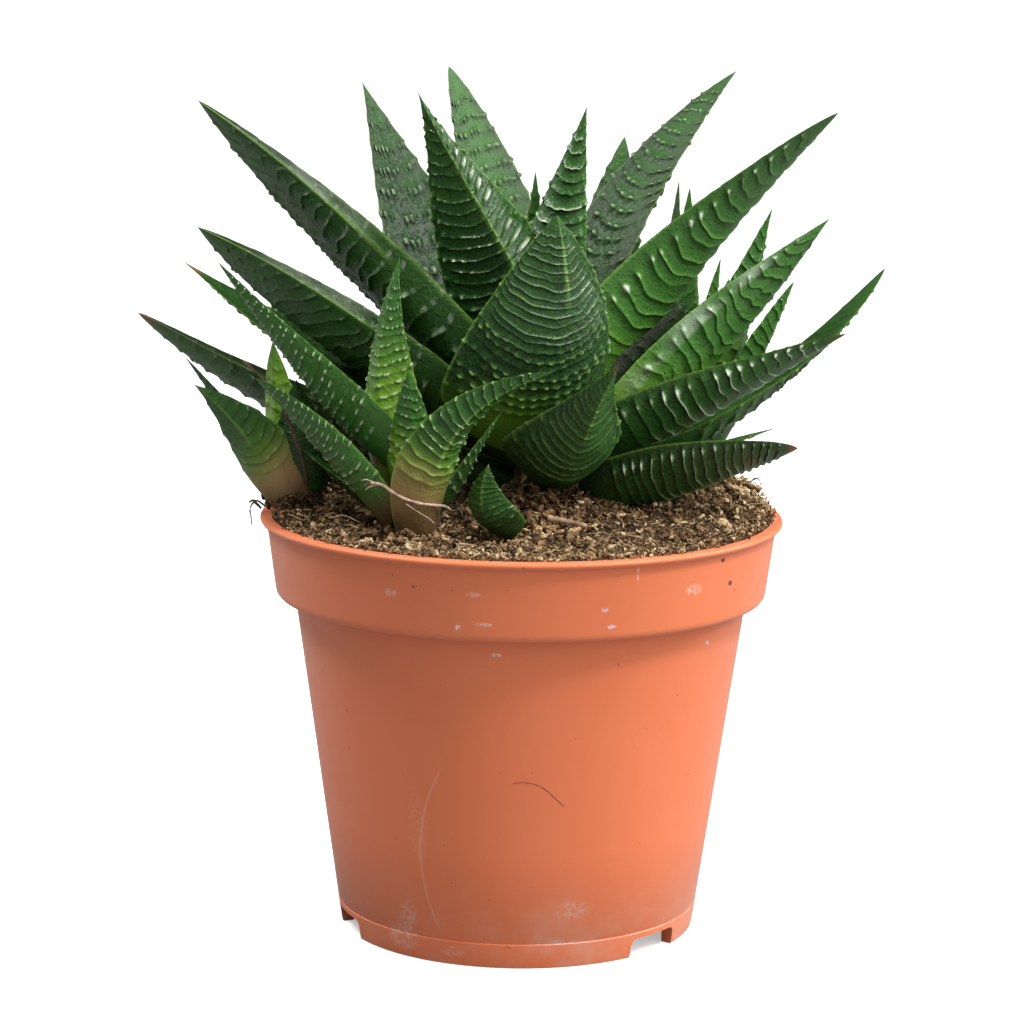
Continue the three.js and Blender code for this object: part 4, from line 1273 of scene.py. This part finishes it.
class HAWORTHIA_OT_soil(bpy.types.Operator):
    """Builds the rough soil surface with its crumbs and fibres"""

    bl_idname = "haworthia.soil"
    bl_label = "Build the Soil"

    def execute(self, context):
        look = context.scene.haworthia_soil
        earth = soil_material("Peat Crumb", (look.dark, look.middle, look.light), 700)
        points, faces = ground_skin()
        ground = mesh_piece("soil_ground", points, faces)
        tone = 0.08 + 0.12 * ripple(74, points[:, 0] * 900, points[:, 1] * 900)
        point_values(ground, "tone", np.clip(tone, 0, 1))
        smooth(ground)
        finish_piece(ground, earth, "soil", "soil")

        grains = look.crumb_count
        heaps = (
            ("soil_grains", 31, (
                (grains, 0.18, 0.6, 0.8, 1, scatter_spot, 0, 1),
                (grains // 3, 0.18, 0.5, 0.5, 1, rim_spot, 0, 1),
            )),
            ("soil_lumps", 47, (
                (grains // 8, 0.35, 1.05, 0.1, 2, scatter_spot, 0.05, 0.8),
                (140, 0.4, 1.1, 1.6, 2, pile_spot(3, -24, 4.5), 0.15, 0.7),
                (150, 0.5, 1.2, 3, 2, pile_spot(2, -14, 4), 0.05, 0.45),
                (90, 0.4, 1, 1.3, 2, pile_spot(-18, -31, 4.5), 0.1, 0.7),
                (130, 0.5, 1.3, 1.5, 2, pile_spot(40, 12, 5), 0.2, 0.9),
                (90, 0.6, 1.4, 3.2, 2, pile_spot(-36, 26, 4.5), 0, 0.3),
            )),
            ("soil_dark_clump", 53, (
                (220, 0.4, 1.3, 2.6, 2, pile_spot(-45, -8, 3), 0, 0.12),
            )),
        )
        for name, seed, groups in heaps:
            finish_piece(joined(name, *crumbs(groups, seed)), earth, "soil")

        threads = joined("soil_fibres", *fibres(look.fibre_count, 23))
        smooth(threads)
        straw = (linear(96, 70, 46), linear(158, 128, 92), linear(206, 184, 146))
        finish_piece(threads, soil_material("Coir Fibre", straw, 500), "soil")
        return {"FINISHED"}


# Litter: what lies on the soil, the leaves and the pot, as lines of points in millimetres


def smooth_line(points, steps):
    """A soft curve through a few points, each with steps to the next one."""
    points = np.array(points, float)
    padded = np.vstack((2 * points[0] - points[1], points, 2 * points[-1] - points[-2]))
    line = []
    for k in range(1, len(padded) - 2):
        before, here, after, later = padded[k - 1:k + 3]
        for step in range(steps):
            t = step / steps
            line.append(0.5 * (2 * here + (after - before) * t
                               + (2 * before - 5 * here + 4 * after - later) * t * t
                               + (3 * here - before - 3 * after + later) * t ** 3))
    line.append(points[-1])
    return np.array(line)


def thread_piece(name, threads, material, slot):
    """Thin tubes in one piece; each thread is its points, and its radius at both ends."""
    tubes = []
    for index, (line, first, last) in enumerate(threads):
        line = smooth_line(line, 6)
        share = np.linspace(0, 1, len(line))
        knots = 1 + 0.14 * ripple(index + 5, share * 34, share * 11)
        tubes.append(strip(line, (first + (last - first) * share) * knots, 6))
    thing = joined(name, tubes)
    smooth(thing)
    finish_piece(thing, material, slot)


BARE_ROOT = (
    (((-29, -31.2, 95.3), (-26.9, -32.7, 95.2), (-25.1, -34.1, 94.3), (-23.2, -34.8, 93.3),
      (-21.2, -35.1, 92.6), (-19.3, -35.1, 92.1), (-17, -33.8, 91.6), (-15, -31.4, 91),
      (-13.8, -29.5, 90)), 0.34, 0.28),
    (((-28.2, -31.4, 95.3), (-29.8, -31.1, 95.9), (-31, -30.6, 95.7)), 0.2, 0.05),
    (((-27.8, -31.8, 95.1), (-29.4, -31.3, 94.5), (-30.2, -31, 93.8)), 0.18, 0.05),
    (((-22.2, -35, 92), (-19.8, -34.9, 90.4), (-17.8, -34, 89), (-16.5, -32.8, 87.6)),
     0.12, 0.07),
)
DRY_STRAND = (
    (((-55, -14.5, 116.5), (-53, -16, 115), (-51, -17, 113.4), (-48.6, -18, 110.8),
      (-47, -18, 108.2), (-45.9, -17.5, 105.2), (-44.4, -16.5, 101.1), (-43.3, -14.5, 97.1),
      (-42.5, -12, 91.5)), 0.24, 0.34),
)
MOSS = (
    (((-52.6, -2.5, 85.2), (-53.8, -2.2, 85.9), (-54.5, -2, 84.6), (-54.3, -2, 83),
      (-54.2, -2, 81.4)), 0.2, 0.12),
    (((-52.2, -3.2, 85), (-53.6, -3.4, 86.6), (-54.6, -3, 86.2)), 0.3, 0.18),
    (((-51.5, -1.6, 85.2), (-53.2, -1, 86.2), (-54.3, -1.2, 85.5)), 0.26, 0.15),
    (((43.5, 15, 86.8), (45.8, 14, 88.3), (47.2, 14, 88.8), (49.3, 14, 89.8)), 0.16, 0.08),
    (((46, 14.5, 87.2), (47.6, 13.6, 89.3), (48.6, 13.2, 89.2), (49, 13.4, 88.2)), 0.15, 0.08),
    (((47.5, 14, 88.5), (48.6, 14.4, 87.8), (49.6, 14.2, 88.4)), 0.12, 0.07),
)
WOODY_BITS = (
    (((5, -27.5, 88.2), (8.5, -28.2, 87.7), (12.5, -28.5, 86.9)), 0.75, 0.5),
    (((20, -34, 86.2), (23, -35.5, 86)), 0.3, 0.2),
    (((-12, -40, 85.3), (-8.5, -41.5, 85.2)), 0.3, 0.25),
    (((-34, -26, 86), (-33, -29, 86.6), (-31.5, -31, 86.4)), 0.22, 0.12),
    (((-31, -24, 86), (-34.5, -26.5, 88), (-37, -27, 87.6)), 0.2, 0.12),
)


def hair_on_pot():
    """A single fine hair that clings to the wall of the pot."""
    line = []
    for x, z in ((-1, 38.9), (1.2, 39.1), (3.4, 38.6), (5.4, 37.4), (7.2, 35.6), (8.8, 34)):
        reach = pot_radius(z) + 0.03
        line.append((x, -math.sqrt(reach * reach - x * x), z))
    return ((line, 0.05, 0.05),)


class HAWORTHIA_OT_litter(bpy.types.Operator):
    """Lays the bare root, the dry strand, moss, woody bits, a pebble and a hair"""

    bl_idname = "haworthia.litter"
    bl_label = "Lay the Litter"

    def execute(self, context):
        root = plain_material("Bare Root", (176, 140, 124), (214, 188, 172), 900, 0.6)
        thread_piece("bare_root", BARE_ROOT, root, "stem")
        dry = plain_material("Dry Strand", (66, 46, 38), (112, 86, 70), 600, 0.75)
        thread_piece("dry_strand", DRY_STRAND, dry, "stem")
        moss = plain_material("Moss", (46, 66, 26), (96, 116, 58), 900, 0.85)
        thread_piece("moss_strands", MOSS, moss, "leaf_young")
        wood = plain_material("Woody Bit", (110, 84, 60), (176, 150, 118), 500, 0.85)
        thread_piece("woody_bits", WOODY_BITS, wood, "soil")
        brown = plain_material("Fine Hair", (96, 44, 26), (120, 62, 40), 400, 0.6)
        thread_piece("hair_on_pot", hair_on_pot(), brown, "soil")

        shape, faces = crumb_shapes(1, 91, 3)[0]
        points = (shape * PEBBLE_SIZE + PEBBLE_PLACE) * MM
        stone = mesh_piece("pale_pebble", points, faces)
        smooth(stone)
        chalk = plain_material("Pale Stone", (196, 184, 160), (228, 220, 204), 700, 0.8)
        finish_piece(stone, chalk, "soil")
        return {"FINISHED"}


# Settings


class HaworthiaStage(bpy.types.PropertyGroup):
    floor_size: bpy.props.FloatProperty(
        name="Floor Size", description="Side of the square floor", default=6, unit="LENGTH")
    floor_glow: bpy.props.FloatProperty(
        name="Floor Glow", description="Light that the white floor gives itself", default=0.42)
    surround: bpy.props.FloatProperty(
        name="Surround", description="Brightness of the white room", default=0.2)
    window_power: bpy.props.FloatProperty(
        name="Window", description="Power of the broad light from the right", default=3)
    key_power: bpy.props.FloatProperty(
        name="Key Light", description="Power of the light from the right front", default=4.5)
    top_power: bpy.props.FloatProperty(
        name="Top Light", description="Power of the light from above", default=3.8)
    side_power: bpy.props.FloatProperty(
        name="Side Light", description="Power of the light from the right", default=3.5)
    edge_power: bpy.props.FloatProperty(
        name="Edge Light", description="Power of the light from behind left", default=1.1)


class HaworthiaLeaves(bpy.types.PropertyGroup):
    ridge_height: bpy.props.FloatProperty(
        name="Ridge Height", description="How far the ridges stand out", default=0.62 * MM,
        unit="LENGTH", precision=5)
    samples_per_mm: bpy.props.FloatProperty(
        name="Samples", description="Points across a millimetre of leaf", default=2, min=1)
    dark_green: bpy.props.FloatVectorProperty(
        name="Dark Green", description="Colour of the shaded, older leaves", subtype="COLOR",
        default=linear(17, 44, 15))
    light_green: bpy.props.FloatVectorProperty(
        name="Light Green", description="Colour of the fresher leaves", subtype="COLOR",
        default=linear(64, 112, 44))
    foot_green: bpy.props.FloatVectorProperty(
        name="Foot Green", description="Yellow-green at the foot of a leaf", subtype="COLOR",
        default=linear(118, 160, 44))
    crest_green: bpy.props.FloatVectorProperty(
        name="Crest Green", description="Pale line on ridges and margins", subtype="COLOR",
        default=linear(134, 174, 78))


class HaworthiaPot(bpy.types.PropertyGroup):
    colour: bpy.props.FloatVectorProperty(
        name="Colour", description="Main colour of the plastic", subtype="COLOR",
        default=linear(226, 119, 74))
    worn_colour: bpy.props.FloatVectorProperty(
        name="Worn Colour", description="Paler, worn patches", subtype="COLOR",
        default=linear(228, 123, 80))


class HaworthiaSoil(bpy.types.PropertyGroup):
    crumb_count: bpy.props.IntProperty(
        name="Crumbs", description="Number of fine grains", default=6200)
    fibre_count: bpy.props.IntProperty(
        name="Fibres", description="Number of loose fibres", default=950)
    dark: bpy.props.FloatVectorProperty(
        name="Dark", description="Darkest crumbs", subtype="COLOR", default=linear(52, 38, 26))
    middle: bpy.props.FloatVectorProperty(
        name="Middle", description="Most of the crumbs", subtype="COLOR",
        default=linear(166, 130, 90))
    light: bpy.props.FloatVectorProperty(
        name="Light", description="Palest crumbs", subtype="COLOR",
        default=linear(228, 202, 158))


class HAWORTHIA_PT_panel(bpy.types.Panel):
    bl_label = "Haworthia"
    bl_idname = "HAWORTHIA_PT_panel"
    bl_space_type = "VIEW_3D"
    bl_region_type = "UI"
    bl_category = "Haworthia"

    def draw(self, context):
        layout = self.layout
        for operator, group in STEPS:
            layout.operator(operator.bl_idname)
            if group:
                settings = getattr(context.scene, group)
                for key in settings.bl_rna.properties.keys():
                    if key not in {"rna_type", "name"}:
                        layout.prop(settings, key)


# Each step of the making, in order, with the settings that it reads
STEPS = (
    (HAWORTHIA_OT_stage, "haworthia_stage"),
    (HAWORTHIA_OT_pot, "haworthia_pot"),
    (HAWORTHIA_OT_soil, "haworthia_soil"),
    (HAWORTHIA_OT_stems, None),
    (HAWORTHIA_OT_leaves, "haworthia_leaves"),
    (HAWORTHIA_OT_litter, None),
)
GROUPS = {
    "haworthia_stage": HaworthiaStage,
    "haworthia_pot": HaworthiaPot,
    "haworthia_soil": HaworthiaSoil,
    "haworthia_leaves": HaworthiaLeaves,
}


def register():
    for key, group in GROUPS.items():
        bpy.utils.register_class(group)
        setattr(bpy.types.Scene, key, bpy.props.PointerProperty(type=group))
    for operator, _ in STEPS:
        bpy.utils.register_class(operator)
    bpy.utils.register_class(HAWORTHIA_PT_panel)


def unregister():
    bpy.utils.unregister_class(HAWORTHIA_PT_panel)
    for operator, _ in reversed(STEPS):
        bpy.utils.unregister_class(operator)
    for key, group in GROUPS.items():
        delattr(bpy.types.Scene, key)
        bpy.utils.unregister_class(group)


def main():
    register()
    for operator, _ in STEPS:
        group, name = operator.bl_idname.split(".")
        getattr(getattr(bpy.ops, group), name)()


if __name__ == "__main__":
    main()
